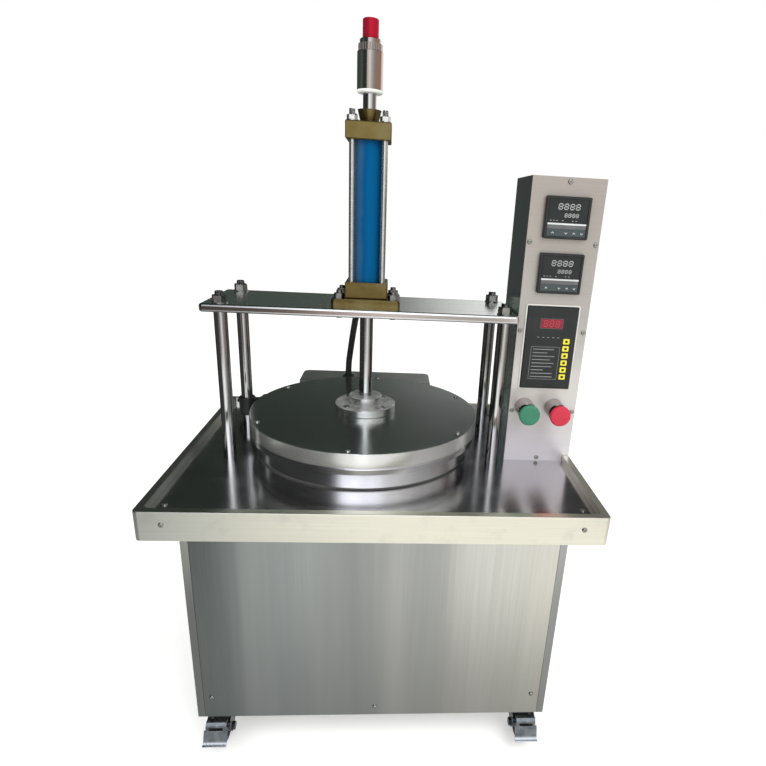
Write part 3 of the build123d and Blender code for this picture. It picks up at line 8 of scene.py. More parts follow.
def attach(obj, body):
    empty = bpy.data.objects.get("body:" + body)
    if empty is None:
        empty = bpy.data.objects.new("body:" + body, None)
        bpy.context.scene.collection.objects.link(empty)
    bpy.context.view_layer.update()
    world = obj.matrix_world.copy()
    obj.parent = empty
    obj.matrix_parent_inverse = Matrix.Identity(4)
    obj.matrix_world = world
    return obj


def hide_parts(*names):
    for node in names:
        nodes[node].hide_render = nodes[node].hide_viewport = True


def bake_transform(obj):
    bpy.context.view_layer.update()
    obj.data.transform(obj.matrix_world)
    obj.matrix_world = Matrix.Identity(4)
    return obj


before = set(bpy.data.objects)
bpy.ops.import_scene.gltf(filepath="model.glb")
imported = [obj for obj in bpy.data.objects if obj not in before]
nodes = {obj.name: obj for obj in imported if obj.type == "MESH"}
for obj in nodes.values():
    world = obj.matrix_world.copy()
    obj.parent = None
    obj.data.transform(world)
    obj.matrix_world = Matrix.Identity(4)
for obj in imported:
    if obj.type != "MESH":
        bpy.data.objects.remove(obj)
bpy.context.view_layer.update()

scene = bpy.context.scene
pressX = -0.036  # press axis, metres from the table's middle
print("stage: frame loaded,", len(nodes), "nodes")


class Tap:  # a value socket that takes part in sums
    def __init__(self, tree, socket):
        self.tree = tree
        self.socket = socket

    def sum(self, operation, *terms):
        node = self.tree.nodes.new("ShaderNodeMath")
        node.operation = operation
        for place, term in zip(node.inputs, terms):
            plug(self.tree, place, term)
        return Tap(self.tree, node.outputs[0])

    def __add__(self, other):
        return self.sum("ADD", self, other)

    def __radd__(self, other):
        return self.sum("ADD", other, self)

    def __sub__(self, other):
        return self.sum("SUBTRACT", self, other)

    def __rsub__(self, other):
        return self.sum("SUBTRACT", other, self)

    def __mul__(self, other):
        return self.sum("MULTIPLY", self, other)

    def __rmul__(self, other):
        return self.sum("MULTIPLY", other, self)

    def __truediv__(self, other):
        return self.sum("DIVIDE", self, other)

    def __abs__(self):
        return self.sum("ABSOLUTE", self)


def plug(tree, place, value):  # a link, a colour or a number into one socket
    if isinstance(value, Tap):
        tree.links.new(value.socket, place)
    elif isinstance(value, (tuple, list)) and place.type == "RGBA" and len(value) == 3:
        place.default_value = (*value, 1)
    else:
        place.default_value = value


class Finish:  # one node tree: a material's or the world's
    def __init__(self, tree):
        self.tree = tree
        tree.nodes.clear()

    def add(self, kind, settings=None, sockets=None, out=0):
        node = self.tree.nodes.new(kind)
        for key, value in (settings or {}).items():
            if key == "stops":
                ramp = node.color_ramp
                while len(ramp.elements) < len(value):
                    ramp.elements.new(0.5)
                for element, (place, colour) in zip(ramp.elements, value):
                    element.position = place
                    element.color = (*colour, 1) if isinstance(colour, tuple) else (colour, colour, colour, 1)
            elif key == "blending":
                node.color_ramp.interpolation = value
            else:
                setattr(node, key, value)
        for key, value in (sockets or {}).items():
            plug(self.tree, node.inputs[key], value)
        return Tap(self.tree, node.outputs[out]) if node.outputs else None

    def place(self):  # object coordinates: the part's own frame in metres
        return self.add("ShaderNodeTexCoord", out="Object")

    def axes(self, vector, letters):  # the named parts of a vector, or the one part
        outs = self.add("ShaderNodeSeparateXYZ", None, {0: vector}).socket.node.outputs
        parts = [Tap(self.tree, outs["xyz".index(letter)]) for letter in letters]
        return parts if len(parts) > 1 else parts[0]

    def along(self, letters):
        return self.axes(self.place(), letters)

    def facing(self, letters):  # from the surface's own normal
        return self.axes(self.add("ShaderNodeNewGeometry", out="Normal"), letters)

    def stretch(self, scale):
        return self.add("ShaderNodeMapping", None, {0: self.place(), "Scale": scale})

    def noise(self, vector, scale, detail=3.0, rough=0.55):
        sockets = {"Vector": vector, "Scale": scale, "Detail": detail, "Roughness": rough}
        return self.add("ShaderNodeTexNoise", None, sockets)

    def ramp(self, value, stops, blending="LINEAR"):
        return self.add("ShaderNodeValToRGB", {"stops": stops, "blending": blending}, {0: value})

    def span(self, value, low, high, to=(0.0, 1.0), kind="SMOOTHSTEP"):
        sockets = {0: value, 1: low, 2: high, 3: to[0], 4: to[1]}
        return self.add("ShaderNodeMapRange", {"interpolation_type": kind}, sockets)

    def around(self, stops, shift=None):  # a ramp by the way the surface faces, from left to right, for painted reflection and shade
        turn = self.facing("x") if shift is None else self.facing("x") + shift
        return self.ramp(self.span(turn, -1.0, 1.0, kind="LINEAR"), stops)

    def mix(self, share, first, second, how="MIX"):
        settings = {"data_type": "RGBA", "blend_type": how}
        return self.add("ShaderNodeMix", settings, {0: share, 6: first, 7: second}, out=2)

    def bump(self, height, strength, depth=0.001):
        return self.add("ShaderNodeBump", None, {"Height": height, "Strength": strength, "Distance": depth})


def material(name, paint, **fixed):  # paint(finish) gives the varying sockets, fixed the even ones
    made = bpy.data.materials.new(name)
    made.use_nodes = True
    finish = Finish(made.node_tree)
    sockets = dict(fixed)
    sockets.update(paint(finish))
    shader = finish.add("ShaderNodeBsdfPrincipled", None, sockets)
    finish.add("ShaderNodeOutputMaterial", None, {"Surface": shader})
    return made


def dress(made, *names):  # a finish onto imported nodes
    for name in names:
        mesh = nodes[name].data
        mesh.materials.clear()
        mesh.materials.append(made)


# Camera, set as the photograph's: a point, three turns, focal length and image middle in pixels of 766
shot = {
    "place": (0.00878, -1.03224, 0.92721),
    "pitch": 19.198,
    "yaw": 4.745,
    "roll": 3.244,
    "focal": 562.485,
    "middle": (432.602, 403.964),
    "side": 766,
    "sensor": 36,  # millimetres
    "near": 0.05,
}


def placeCamera():
    pitch, yaw, roll = (radians(shot[key]) for key in ("pitch", "yaw", "roll"))
    ahead = Vector((sin(yaw) * cos(pitch), cos(yaw) * cos(pitch), -sin(pitch)))
    right = Vector((cos(yaw), -sin(yaw), 0))
    down = ahead.cross(right)
    turnedRight = cos(roll) * right - sin(roll) * down
    turnedDown = sin(roll) * right + cos(roll) * down
    data = bpy.data.cameras.new("photoCamera")
    data.sensor_width = shot["sensor"]
    data.lens = shot["focal"] / shot["side"] * shot["sensor"]
    data.shift_x = 0.5 - shot["middle"][0] / shot["side"]
    data.shift_y = shot["middle"][1] / shot["side"] - 0.5
    data.clip_start = shot["near"]
    camera = bpy.data.objects.new("photoCamera", data)
    scene.collection.objects.link(camera)
    turn = Matrix((turnedRight, -turnedDown, -ahead)).transposed().to_4x4()
    camera.matrix_world = Matrix.Translation(shot["place"]) @ turn
    scene.camera = camera


placeCamera()
print("stage: camera set")

# Studio: white to the eye, even white for diffuse light, pale and dark screens for gloss
studio = {
    "ring": (  # screens near the horizon: degrees from the front, right positive, and brightness
        (-180, 0.06), (-150, 0.07), (-100, 0.09), (-75, 0.16), (-60, 0.06), (-30, 0.05), (-23, 0.7),
        (-8, 0.95), (-3, 1.3), (3, 1.3), (9, 0.95), (22, 0.85), (40, 0.6), (60, (0.5, 0.43, 0.38)),
        (100, (0.42, 0.36, 0.31)), (125, 0.2), (150, 0.08), (180, 0.06),
    ),
    "canopy": (  # screens high up
        (-180, (0.036, 0.042, 0.037)), (-165, (0.026, 0.031, 0.027)), (-60, 0.03), (-28, 0.05),
        (-20, (1.7, 1.73, 1.9)), (12, (1.7, 1.73, 1.9)), (30, 0.95), (60, 0.5), (120, 0.16), (155, 0.07),
        (168, 0.055), (180, (0.036, 0.042, 0.037)),
    ),
    "strip": (  # low at the back, left to right
        (0.0, (0.07, 0.09, 0.078)), (0.5, (0.11, 0.13, 0.118)), (0.66, 0.46), (0.76, 0.8), (0.86, 1.1),
        (0.96, 1.3),
    ),
    "card": (  # ahead, a little below the eye, left to right
        (0.0, (0.11, 0.1, 0.092)), (0.28, (0.125, 0.102, 0.095)), (0.4, (0.19, 0.143, 0.138)),
        (0.56, (0.46, 0.37, 0.36)), (0.7, (0.64, 0.6, 0.56)), (0.9, (0.45, 0.43, 0.41)),
        (1.0, (0.43, 0.41, 0.39)),
    ),
    "ground": (  # ahead, left to right
        (0.0, 0.34), (0.1, 0.52), (0.23, 0.74), (0.36, 0.86), (0.5, 0.88), (1.0, 0.96),
    ),
    "across": {"strip": (-0.3, 0.2), "card": (-0.35, 0.15), "ground": (-0.37, 0.33)},  # each one's ends in x
    "heights": {  # where each one begins and is full
        "canopy": (0.2, 0.3), "ground": (-0.44, -0.54), "glint": (-0.5, -0.56), "foot": (-0.56, -0.78),
    },
    "stripEdges": (("y", 0.2, 0.6), ("z", 0.07, 0.11), ("z", 0.32, 0.24)),
    "cardEdges": (
        ("y", -0.3, -0.6), ("z", -0.28, -0.24), ("z", -0.09, -0.12), ("x", -0.45, -0.38), ("x", 0.25, 0.19),
    ),
    "glint": (1.4, 1.4, 1.38),  # on the ground's nearer half
    "foot": (0.33, 0.33, 0.33),  # the ground close by
    "even": {"colour": (1.0, 0.995, 0.985), "strength": 0.86},
    "aim": (0, 0, 0.5),
    "lamp": {"place": (1.2, -1.8, 2.6), "size": 1.6, "watts": 42.0},
    "fill": {"place": (-1.6, -1.4, 1.6), "size": 1.6, "watts": 14.0},
}


def lightStudio():
    world = bpy.data.worlds.new("studio")
    scene.world = world
    world.use_nodes = True
    world.cycles.sampling_method = "NONE"
    finish = Finish(world.node_tree)
    x, y, z = finish.axes(finish.add("ShaderNodeTexCoord", out="Generated"), "xyz")
    turn = x.sum("ARCTAN2", x, -1 * y) / (2 * pi) + 0.5
    ring, canopy = (
        finish.ramp(turn, [((angle + 180) / 360, value) for angle, value in studio[name]], "EASE")
        for name in ("ring", "canopy")
    )
    strip, card, ground = (
        finish.ramp(finish.span(x, *studio["across"][name], kind="LINEAR"), studio[name])
        for name in ("strip", "card", "ground")
    )
    levels = {name: finish.span(z, *ends) for name, ends in studio["heights"].items()}

    def inside(edges):  # 1 within a screen's edges
        shares = [finish.span({"x": x, "y": y, "z": z}[axis], *ends) for axis, *ends in edges]
        return prod(shares[1:], start=shares[0])

    ground = finish.mix(levels["glint"], ground, finish.mix(1.0, ground, studio["glint"], "MULTIPLY"))
    ground = finish.mix(levels["foot"], ground, studio["foot"])
    gloss = finish.mix(levels["canopy"], ring, canopy)
    gloss = finish.mix(inside(studio["stripEdges"]), gloss, strip)
    gloss = finish.mix(levels["ground"], gloss, ground)
    gloss = finish.mix(inside(studio["cardEdges"]), gloss, card)
    direct = finish.add("ShaderNodeLightPath", out="Is Camera Ray")
    glossy = Tap(finish.tree, direct.socket.node.outputs["Is Glossy Ray"])

    def backdrop(colour, strength=1.0):
        return finish.add("ShaderNodeBackground", None, {0: colour, 1: strength})

    even = backdrop(**studio["even"])
    white = backdrop((1.0, 1.0, 1.0))
    seen = finish.add("ShaderNodeMixShader", None, {0: glossy, 1: even, 2: backdrop(gloss)})
    shown = finish.add("ShaderNodeMixShader", None, {0: direct, 1: seen, 2: white})
    finish.add("ShaderNodeOutputWorld", None, {"Surface": shown})
    for name in ("lamp", "fill"):
        look = studio[name]
        data = bpy.data.lights.new(name, "AREA")
        data.energy = look["watts"]
        data.size = look["size"]
        lamp = bpy.data.objects.new(name, data)
        scene.collection.objects.link(lamp)
        aim = (Vector(studio["aim"]) - Vector(look["place"])).to_track_quat("-Z", "Y")
        lamp.matrix_world = Matrix.Translation(look["place"]) @ aim.to_matrix().to_4x4()
        lamp.visible_glossy = False
    scene.view_settings.view_transform = "Standard"
    scene.view_settings.look = "None"


floorLook = {"reach": 6.0, "glow": 0.3}  # the glow keeps the floor as white as the backdrop


def paleFloor(finish):
    cloud = finish.noise(finish.place(), 1.5, 2.0)
    return {"Base Color": finish.ramp(cloud, [(0.3, (0.9, 0.9, 0.895)), (0.7, (0.93, 0.93, 0.925))])}


def layFloor():
    mesh = bpy.data.meshes.new("floor")
    reach = floorLook["reach"]
    outline = [(-reach, -reach, 0), (reach, -reach, 0), (reach, reach, 0), (-reach, reach, 0)]
    mesh.from_pydata(outline, [], [(0, 1, 2, 3)])
    glow = {"Emission Color": (1.0, 1.0, 1.0), "Emission Strength": floorLook["glow"]}
    mesh.materials.append(material("paleFloor", paleFloor, Roughness=0.9, **glow))
    floor = bpy.data.objects.new("floor", mesh)
    scene.collection.objects.link(floor)
    floor.visible_glossy = False


lightStudio()
layFloor()
print("stage: studio lit")


# Finishes of sheet metal
sheetLooks = {
    "front": {
        # painted reflection and shade: darker at the left, paler at the right
        "tones": ((0.0, (0.3, 0.33, 0.32)), (0.2, (0.44, 0.47, 0.46)), (0.42, (0.43, 0.45, 0.43)),
                  (0.6, (0.57, 0.58, 0.55)), (0.8, (0.74, 0.73, 0.67)), (1.0, (0.8, 0.78, 0.69))),
        # painted shade across the front, one ramp near the top and one near the foot
        "high": ((0.0, 0.52), (0.15, 0.78), (0.3, 1.0), (0.45, 0.76), (0.6, 0.78), (0.75, 1.0)),
        "low": ((0.0, 0.7), (0.4, 0.84), (0.7, 0.7), (1.0, 0.64)),
        "across": (-0.305, 0.305),
        "shadeHeights": (0.1, 0.45),  # heights of the low and the high painted shade
        "rough": 0.34,
    },
    "casing": {
        "tones": ((0.25, (0.4, 0.42, 0.41)), (0.75, (0.62, 0.62, 0.58))),
        "shadeHeights": (0.46, 0.28),  # painted shade: what faces forward darkens between these heights
        "across": (0.32, -0.32),
        "rough": 0.33,
    },
    "fascia": {
        # painted reflection and shade: darker at the left, paler at the right
        "tones": ((0.0, (0.8, 0.82, 0.74)), (0.3, (0.87, 0.86, 0.73)), (0.7, (0.91, 0.88, 0.73)),
                  (1.0, (0.94, 0.91, 0.76))),
        "across": (-0.35, 0.35),
        "rough": 0.3,
    },
    "workTop": {
        "tones": ((0.66, 0.67, 0.66), (0.78, 0.77, 0.76)),
        "dark": (0.42, 0.405, 0.41),  # painted shade at the right
        "across": (0.06, 0.24),
        "height": (0.4855, 0.4835),
        "rough": 0.15,
    },
    "box": {
        "tones": ((0.25, (0.48, 0.53, 0.515)), (0.75, (0.61, 0.65, 0.63))),
        # painted shade on the left side
        "side": (0.34, 0.54, 0.49),
        "rough": 0.2,
    },
    "panel": {
        # painted light and shade: paler at the foot, darker at the top
        "tones": ((0.0, (0.78, 0.75, 0.78)), (0.25, (0.72, 0.7, 0.66)), (0.55, (0.46, 0.44, 0.405)),
                  (1.0, (0.4, 0.36, 0.32))),
        "height": (0.5, 0.97),
        "rough": 0.36,
    },
    "plate": {
        # painted reflection: lighter towards the right
        "tones": ((0.0, (0.66, 0.72, 0.68)), (0.5, (0.7, 0.73, 0.7)), (1.0, (0.8, 0.82, 0.79))),
        "across": (-0.3, 0.23),
        "edge": (0.93, 0.9, 0.88),
        "dull": ((0.0, 0.36), (0.3, 0.6), (0.6, 1.0), (1.0, 0.92)),  # painted shade along the rounded edges, darker at the left
        "edgeShadeAcross": (-0.35, 0.05),
        "rough": 0.24,
    },
}
brushMarks = {"fine": {"pull": 160, "detail": 2.0}, "broad": {"pull": 22, "detail": 3.0}}


def streaks(finish, kind, along, size):  # brush marks that run along one axis
    scale = [size, size, size]
    scale["xyz".index(along)] = size / brushMarks[kind]["pull"]
    return finish.noise(finish.stretch(tuple(scale)), 1.0, brushMarks[kind]["detail"])


# cabinet front: brushed sheet with painted reflection and shade, darker at the left, paler at the right
def frontSheet(finish):
    look = sheetLooks["front"]
    x, z = finish.along("xz")
    thin = streaks(finish, "fine", "z", 900.0)
    broad = streaks(finish, "broad", "z", 14.0)
    across = finish.span(x + (broad - 0.5) * 0.16, *look["across"], kind="LINEAR")
    tone = finish.ramp(across, look["tones"], "EASE")
    low = finish.ramp(across, look["low"])
    high = finish.ramp(across, look["high"])
    # painted shade by height, between the low and the high ramps
    tone = finish.mix(1.0, tone, finish.mix(finish.span(z, *look["shadeHeights"]), low, high), "MULTIPLY")
    tone = finish.mix(finish.span(thin, 0.3, 0.7) * 0.16, tone, (0.34, 0.35, 0.34))
    tone = finish.mix(finish.span(broad, 0.4, 0.75) * 0.16, tone, (0.75, 0.75, 0.7))
    return {
        "Base Color": tone,
        "Roughness": look["rough"] + (thin - 0.5) * 0.14,
        "Normal": finish.bump(thin, 0.12, 0.0004),
    }


def casingSheet(finish):  # sides, back, base and hose box of brushed sheet, with painted shade on what faces forward, low down and to the left
    look = sheetLooks["casing"]
    thin = streaks(finish, "fine", "z", 800.0)
    broad = streaks(finish, "broad", "z", 10.0)
    x, z = finish.along("xz")
    ny = finish.facing("y")
    tone = finish.ramp(broad, look["tones"])
    tone = finish.mix(finish.span(thin, 0.3, 0.7) * 0.3, tone, (0.3, 0.31, 0.3))
    # painted shade: front faces darker towards the foot and the left
    lower = finish.span(z, *look["shadeHeights"]) * finish.span(x, *look["across"], (0.55, 1.0))
    dark = finish.mix(1.0, tone, (0.5, 0.52, 0.51), "MULTIPLY")
    tone = finish.mix(finish.span(ny, -0.5, -0.8) * lower, tone, dark)
    return {
        "Base Color": tone,
        "Roughness": look["rough"] + (thin - 0.5) * 0.14,
        "Normal": finish.bump(thin, 0.12, 0.0004),
    }


def tableSheet(finish):  # polished work top, brushed skirt and rim; painted reflection and shade make the skirt paler to the right and the top darker at the right
    look = sheetLooks["fascia"]
    work = sheetLooks["workTop"]
    x, z = finish.along("xz")
    nz = finish.facing("z")
    thin = streaks(finish, "fine", "x", 700.0)
    blots = finish.noise(finish.place(), 26.0, 4.0, 0.6)
    # painted reflection and shade along the skirt, paler to the right
    skirt = finish.ramp(finish.span(x, *look["across"], kind="LINEAR"), look["tones"], "EASE")
    skirt = finish.mix(finish.span(blots, 0.52, 0.72) * 0.22, skirt, (0.55, 0.55, 0.5))
    skirt = finish.mix(finish.span(thin, 0.3, 0.7) * 0.14, skirt, (0.5, 0.5, 0.46))
    wipe = finish.noise(finish.stretch((5.0, 16.0, 5.0)), 1.0, 4.0, 0.6)
    top = finish.mix(finish.span(wipe, 0.3, 0.75), *work["tones"])
    # painted shade: the top darker at the right
    top = finish.mix(finish.span(x, *work["across"]) * 0.85, top, work["dark"])
    flat = finish.span(nz, 0.4, 0.8) * finish.span(z, *work["height"])
    gloss = work["rough"] + finish.span(wipe, 0.35, 0.8) * 0.07
    rough = flat * gloss + (1 - flat) * (look["rough"] + (thin - 0.5) * 0.1)
    return {
        "Base Color": finish.mix(flat, skirt, top),
        "Roughness": rough,
        "Normal": finish.bump(thin * (1 - flat), 0.08, 0.0004),
    }


def boxSheet(finish):  # control box: satin sheet, its left side painted darker and greener as shade
    look = sheetLooks["box"]
    thin = streaks(finish, "fine", "z", 700.0)
    broad = streaks(finish, "broad", "z", 8.0)
    nx = finish.facing("x")
    tone = finish.ramp(broad, look["tones"])
    # painted shade: faces turned left darker and greener
    tone = finish.mix(finish.span(nx, -0.6, -0.9) * 0.5, tone, look["side"])
    tone = finish.mix(finish.span(thin, 0.3, 0.7) * 0.16, tone, (0.34, 0.38, 0.365))
    return {
        "Base Color": tone,
        "Roughness": look["rough"] + (thin - 0.5) * 0.08,
        "Normal": finish.bump(thin, 0.06, 0.0004),
    }


def panelSheet(finish):  # painted light and shade: paler towards the foot, darker towards the top
    look = sheetLooks["panel"]
    blots = finish.noise(finish.place(), 14.0, 4.0, 0.6)
    thin = streaks(finish, "fine", "x", 700.0)
    height = finish.span(finish.along("z") + (blots - 0.5) * 0.1, *look["height"], kind="LINEAR")
    tone = finish.ramp(height, look["tones"], "EASE")
    tone = finish.mix(finish.span(thin, 0.35, 0.7) * 0.1, tone, (0.6, 0.58, 0.55))
    return {
        "Base Color": tone,
        "Roughness": look["rough"] + (blots - 0.5) * 0.12,
        "Normal": finish.bump(thin, 0.05, 0.0004),
    }


def plateSteel(finish):  # top plate and base plate: ground steel, painted lighter towards the right as reflection, with painted shade on the rounded edges at the left
    look = sheetLooks["plate"]
    x = finish.along("x")
    nz = finish.facing("z")
    thin = streaks(finish, "fine", "x", 600.0)
    broad = streaks(finish, "broad", "x", 9.0)
    across = finish.span(x + (broad - 0.5) * 0.1, *look["across"], kind="LINEAR")
    edge = finish.span(abs(nz), 0.5, 0.1)
    tone = finish.mix(edge, finish.ramp(across, look["tones"]), look["edge"])
    eased = finish.span(abs(nz), 0.995, 0.95)
    # painted shade on the rounded edges, darker to the left
    dull = finish.ramp(finish.span(x, *look["edgeShadeAcross"], kind="LINEAR"), look["dull"])
    tone = finish.mix(eased, tone, finish.mix(1.0, tone, dull, "MULTIPLY"))
    tone = finish.mix(finish.span(thin, 0.35, 0.7) * 0.16, tone, (0.42, 0.44, 0.43))
    return {
        "Base Color": tone,
        "Roughness": look["rough"] - edge * 0.14 + (thin - 0.5) * 0.1,
        "Normal": finish.bump(thin * (1 - edge), 0.08, 0.0004),
    }


turnedLooks = {
    "platens": {"light": (0.88, 0.87, 0.88), "dark": (0.74, 0.73, 0.74), "rough": 0.2},
    "cover": {"light": (0.72, 0.76, 0.73), "dark": (0.62, 0.66, 0.63), "rough": 0.2, "pitch": 1400.0},
    # painted shade on the lid's top at the right
    "coverRightShade": {"across": (-0.03, 0.18), "colour": (0.32, 0.35, 0.33), "share": 0.85},
    # painted highlight: a paler rim, partly not metal on its left so that it shows lighter
    "coverRimHighlight": {"colour": (0.86, 0.86, 0.84), "rimHighlightShare": (0.05, 0.2)},
    "hub": {"light": (0.8, 0.79, 0.77), "dark": (0.58, 0.58, 0.56), "rough": 0.26},
    "sleeve": {"light": (0.66, 0.58, 0.53), "dark": (0.5, 0.45, 0.42), "rough": 0.12, "pitch": 1800.0},
    "sleeveFoot": {"height": (1.1006, 1.1), "colour": (0.74, 0.76, 0.71), "rough": 0.5},
}


def turnedMetal(finish, light, dark, rough, pitch=2600.0):  # fine lathe marks round the press axis
    x, y, z = finish.along("xyz")
    offX = x - pressX
    reach = offX.sum("SQRT", offX * offX + y * y)
    across = finish.span(abs(finish.facing("z")), 0.4, 0.6)
    travel = z * (1 - across) + reach * across
    marks = finish.noise(finish.add("ShaderNodeCombineXYZ", None, {2: travel * pitch}), 1.0, 2.0)
    cloud = finish.noise(finish.place(), 18.0, 4.0, 0.6)
    tone = finish.mix(finish.span(cloud, 0.3, 0.75), light, dark)
    tone = finish.mix(finish.span(marks, 0.35, 0.7) * 0.25, tone, dark)
    return {
        "Base Color": tone,
        "Roughness": rough + (marks - 0.5) * 0.1 + (cloud - 0.5) * 0.08,
        "Normal": finish.bump(marks, 0.1, 0.0003),
    }


def platenSide(finish):
    return turnedMetal(finish, **turnedLooks["platens"])


def coverSheet(finish):  # polished lid with painted shade at the right of its top and a painted highlight on its paler rim
    made = turnedMetal(finish, **turnedLooks["cover"])
    look = turnedLooks["coverRightShade"]
    x, y = finish.along("xy")
    nx, nz = finish.facing("xz")
    # painted shade: the top darker towards the right
    right = finish.span(x + y * 0.3, *look["across"]) * finish.span(nz, 0.5, 0.9)
    made["Base Color"] = finish.mix(right * look["share"], made["Base Color"], look["colour"])
    look = turnedLooks["coverRimHighlight"]
    # painted highlight on the rim
    rim = finish.span(nz, 0.5, 0.2)
    made["Base Color"] = finish.mix(rim, made["Base Color"], look["colour"])
    made["Metallic"] = 1 - rim * finish.span(nx, -0.9, -0.1, look["rimHighlightShare"])
    return made


def hubMetal(finish):  # turned sides, a scuffed dull top
    made = turnedMetal(finish, **turnedLooks["hub"])
    flat = finish.span(finish.facing("z"), 0.5, 0.9)
    scuff = finish.noise(finish.place(), 70.0, 4.0, 0.62)
    dull = finish.ramp(scuff, [(0.3, (0.2, 0.21, 0.205)), (0.7, (0.46, 0.47, 0.455))])
    made["Base Color"] = finish.mix(flat, made["Base Color"], dull)
    made["Metallic"] = 1 - flat * 0.7
    return made


def chrome(finish):  # painted reflection and shade: bright in the middle, dark at its sides
    cloud = finish.noise(finish.stretch((40.0, 40.0, 9.0)), 1.0, 3.0)
    tone = finish.ramp(cloud, [(0.3, (0.66, 0.66, 0.65)), (0.75, (0.77, 0.765, 0.75))])
    # painted reflection and shade by the way the surface faces
    sides = finish.around([(0.0, 0.36), (0.26, 0.34), (0.37, 1.0), (0.66, 1.0), (0.78, 0.48), (1.0, 0.46)])
    tone = finish.mix(1.0, tone, sides, "MULTIPLY")
    return {"Base Color": tone, "Roughness": 0.08 + finish.span(cloud, 0.4, 0.8) * 0.07}


threadLook = {
    "columns": {"pitch": 0.002, "depth": 0.0012, "above": (0.758, 0.7592), "below": (0.4815, 0.4805)},
    "tieRods": {"pitch": 0.0015, "depth": 0.0008, "above": (1.0605, 1.061)},
}


def threads(finish, look):  # cut where z is above or below the given heights
    z = finish.along("z")
    turn = z / look["pitch"]
    height = abs(turn.sum("FRACT", turn) - 0.5) * 2
    share = finish.span(z, *look["above"])
    if "below" in look:
        share = share + finish.span(z, *look["below"])
    return finish.bump(height, share, look["depth"])


def columnChrome(finish):  # bright columns with cut threads at both ends
    made = chrome(finish)
    made["Normal"] = threads(finish, threadLook["columns"])
    return made


def zincBolts(finish):
    grain = finish.noise(finish.place(), 420.0, 3.0)
    cloud = finish.noise(finish.place(), 60.0, 3.0)
    tone = finish.ramp(cloud, [(0.3, (0.66, 0.66, 0.63)), (0.7, (0.82, 0.81, 0.77))])
    tone = finish.mix(finish.span(grain, 0.5, 0.75) * 0.3, tone, (0.4, 0.4, 0.38))
    return {
        "Base Color": tone,
        "Roughness": 0.27 + (grain - 0.5) * 0.16,
        "Normal": finish.bump(grain, 0.1, 0.0003),
    }


def dullBolts(finish):
    made = zincBolts(finish)
    cloud = finish.noise(finish.place(), 80.0, 3.0)
    made["Base Color"] = finish.ramp(cloud, [(0.3, (0.24, 0.24, 0.23)), (0.7, (0.42, 0.42, 0.4))])
    return made


def screwZinc(finish):
    made = zincBolts(finish)
    made["Base Color"] = finish.mix(1.0, made["Base Color"], (0.62, 0.62, 0.6), "MULTIPLY")
    return made


def tieZinc(finish):
    made = zincBolts(finish)
    made["Normal"] = threads(finish, threadLook["tieRods"])
    return made


def sleeveChrome(finish):  # polished, with painted reflection bands round it and a pale foot
    made = turnedMetal(finish, **turnedLooks["sleeve"])
    look = turnedLooks["sleeveFoot"]
    # painted reflection bands by the way the surface faces
    reflectionBands = finish.around([
        (0.0, (0.44, 0.49, 0.45)), (0.36, (0.44, 0.49, 0.45)), (0.45, (0.5, 0.45, 0.41)),
        (0.6, (0.34, 0.3, 0.28)), (0.68, (0.28, 0.255, 0.24)), (0.78, (0.46, 0.33, 0.27)),
        (0.88, (0.58, 0.37, 0.3)), (1.0, (0.46, 0.4, 0.36)),
    ])
    made["Base Color"] = finish.mix(0.8, made["Base Color"], reflectionBands)
    foot = finish.span(finish.along("z"), *look["height"])
    made["Base Color"] = finish.mix(foot, made["Base Color"], look["colour"])
    made["Metallic"] = 1 - foot
    made["Roughness"] = made["Roughness"] * (1 - foot) + foot * look["rough"]
    return made


def olivePlating(finish):  # yellow zinc plate gone olive in patches
    cloud = finish.noise(finish.place(), 34.0, 4.0, 0.62)
    grain = finish.noise(finish.place(), 520.0, 2.0)
    tone = finish.ramp(
        cloud,
        [
            (0.25, (0.14, 0.104, 0.036)), (0.5, (0.2, 0.15, 0.054)), (0.66, (0.225, 0.183, 0.08)),
            (0.85, (0.175, 0.155, 0.08)),
        ],
    )
    tone = finish.mix(finish.span(grain, 0.55, 0.75) * 0.3, tone, (0.22, 0.17, 0.06))
    return {
        "Base Color": tone,
        "Roughness": 0.3 + (cloud - 0.5) * 0.2,
        "Normal": finish.bump(grain, 0.08, 0.0003),
    }


def bluePaint(finish):
    cloud = finish.noise(finish.place(), 22.0, 3.0)
    peel = finish.noise(finish.place(), 260.0, 2.0)
    # painted reflection and shade round the tube, by the way the surface faces
    stops = [
        (0.0, (0.05, 0.13, 0.21)), (0.2, (0.034, 0.1, 0.19)), (0.4, (0.0, 0.062, 0.172)),
        (0.54, (0.0, 0.077, 0.205)), (0.7, (0.0, 0.074, 0.195)), (1.0, (0.004, 0.058, 0.14)),
    ]
    return {
        "Base Color": finish.around(stops, (cloud - 0.5) * 0.3),
        "Roughness": 0.42 + (cloud - 0.5) * 0.1,
        "Normal": finish.bump(peel, 0.05, 0.0005),
    }


def moulded(finish, colour, shade, rough, size=700.0):  # plastic, rubber or paint with a fine skin
    grain = finish.noise(finish.place(), size, 3.0)
    cloud = finish.noise(finish.place(), 30.0, 3.0)
    tone = finish.mix(finish.span(cloud, 0.3, 0.75), colour, shade)
    return {
        "Base Color": tone,
        "Roughness": rough + (cloud - 0.5) * 0.12,
        "Normal": finish.bump(grain, 0.12, 0.0003),
    }


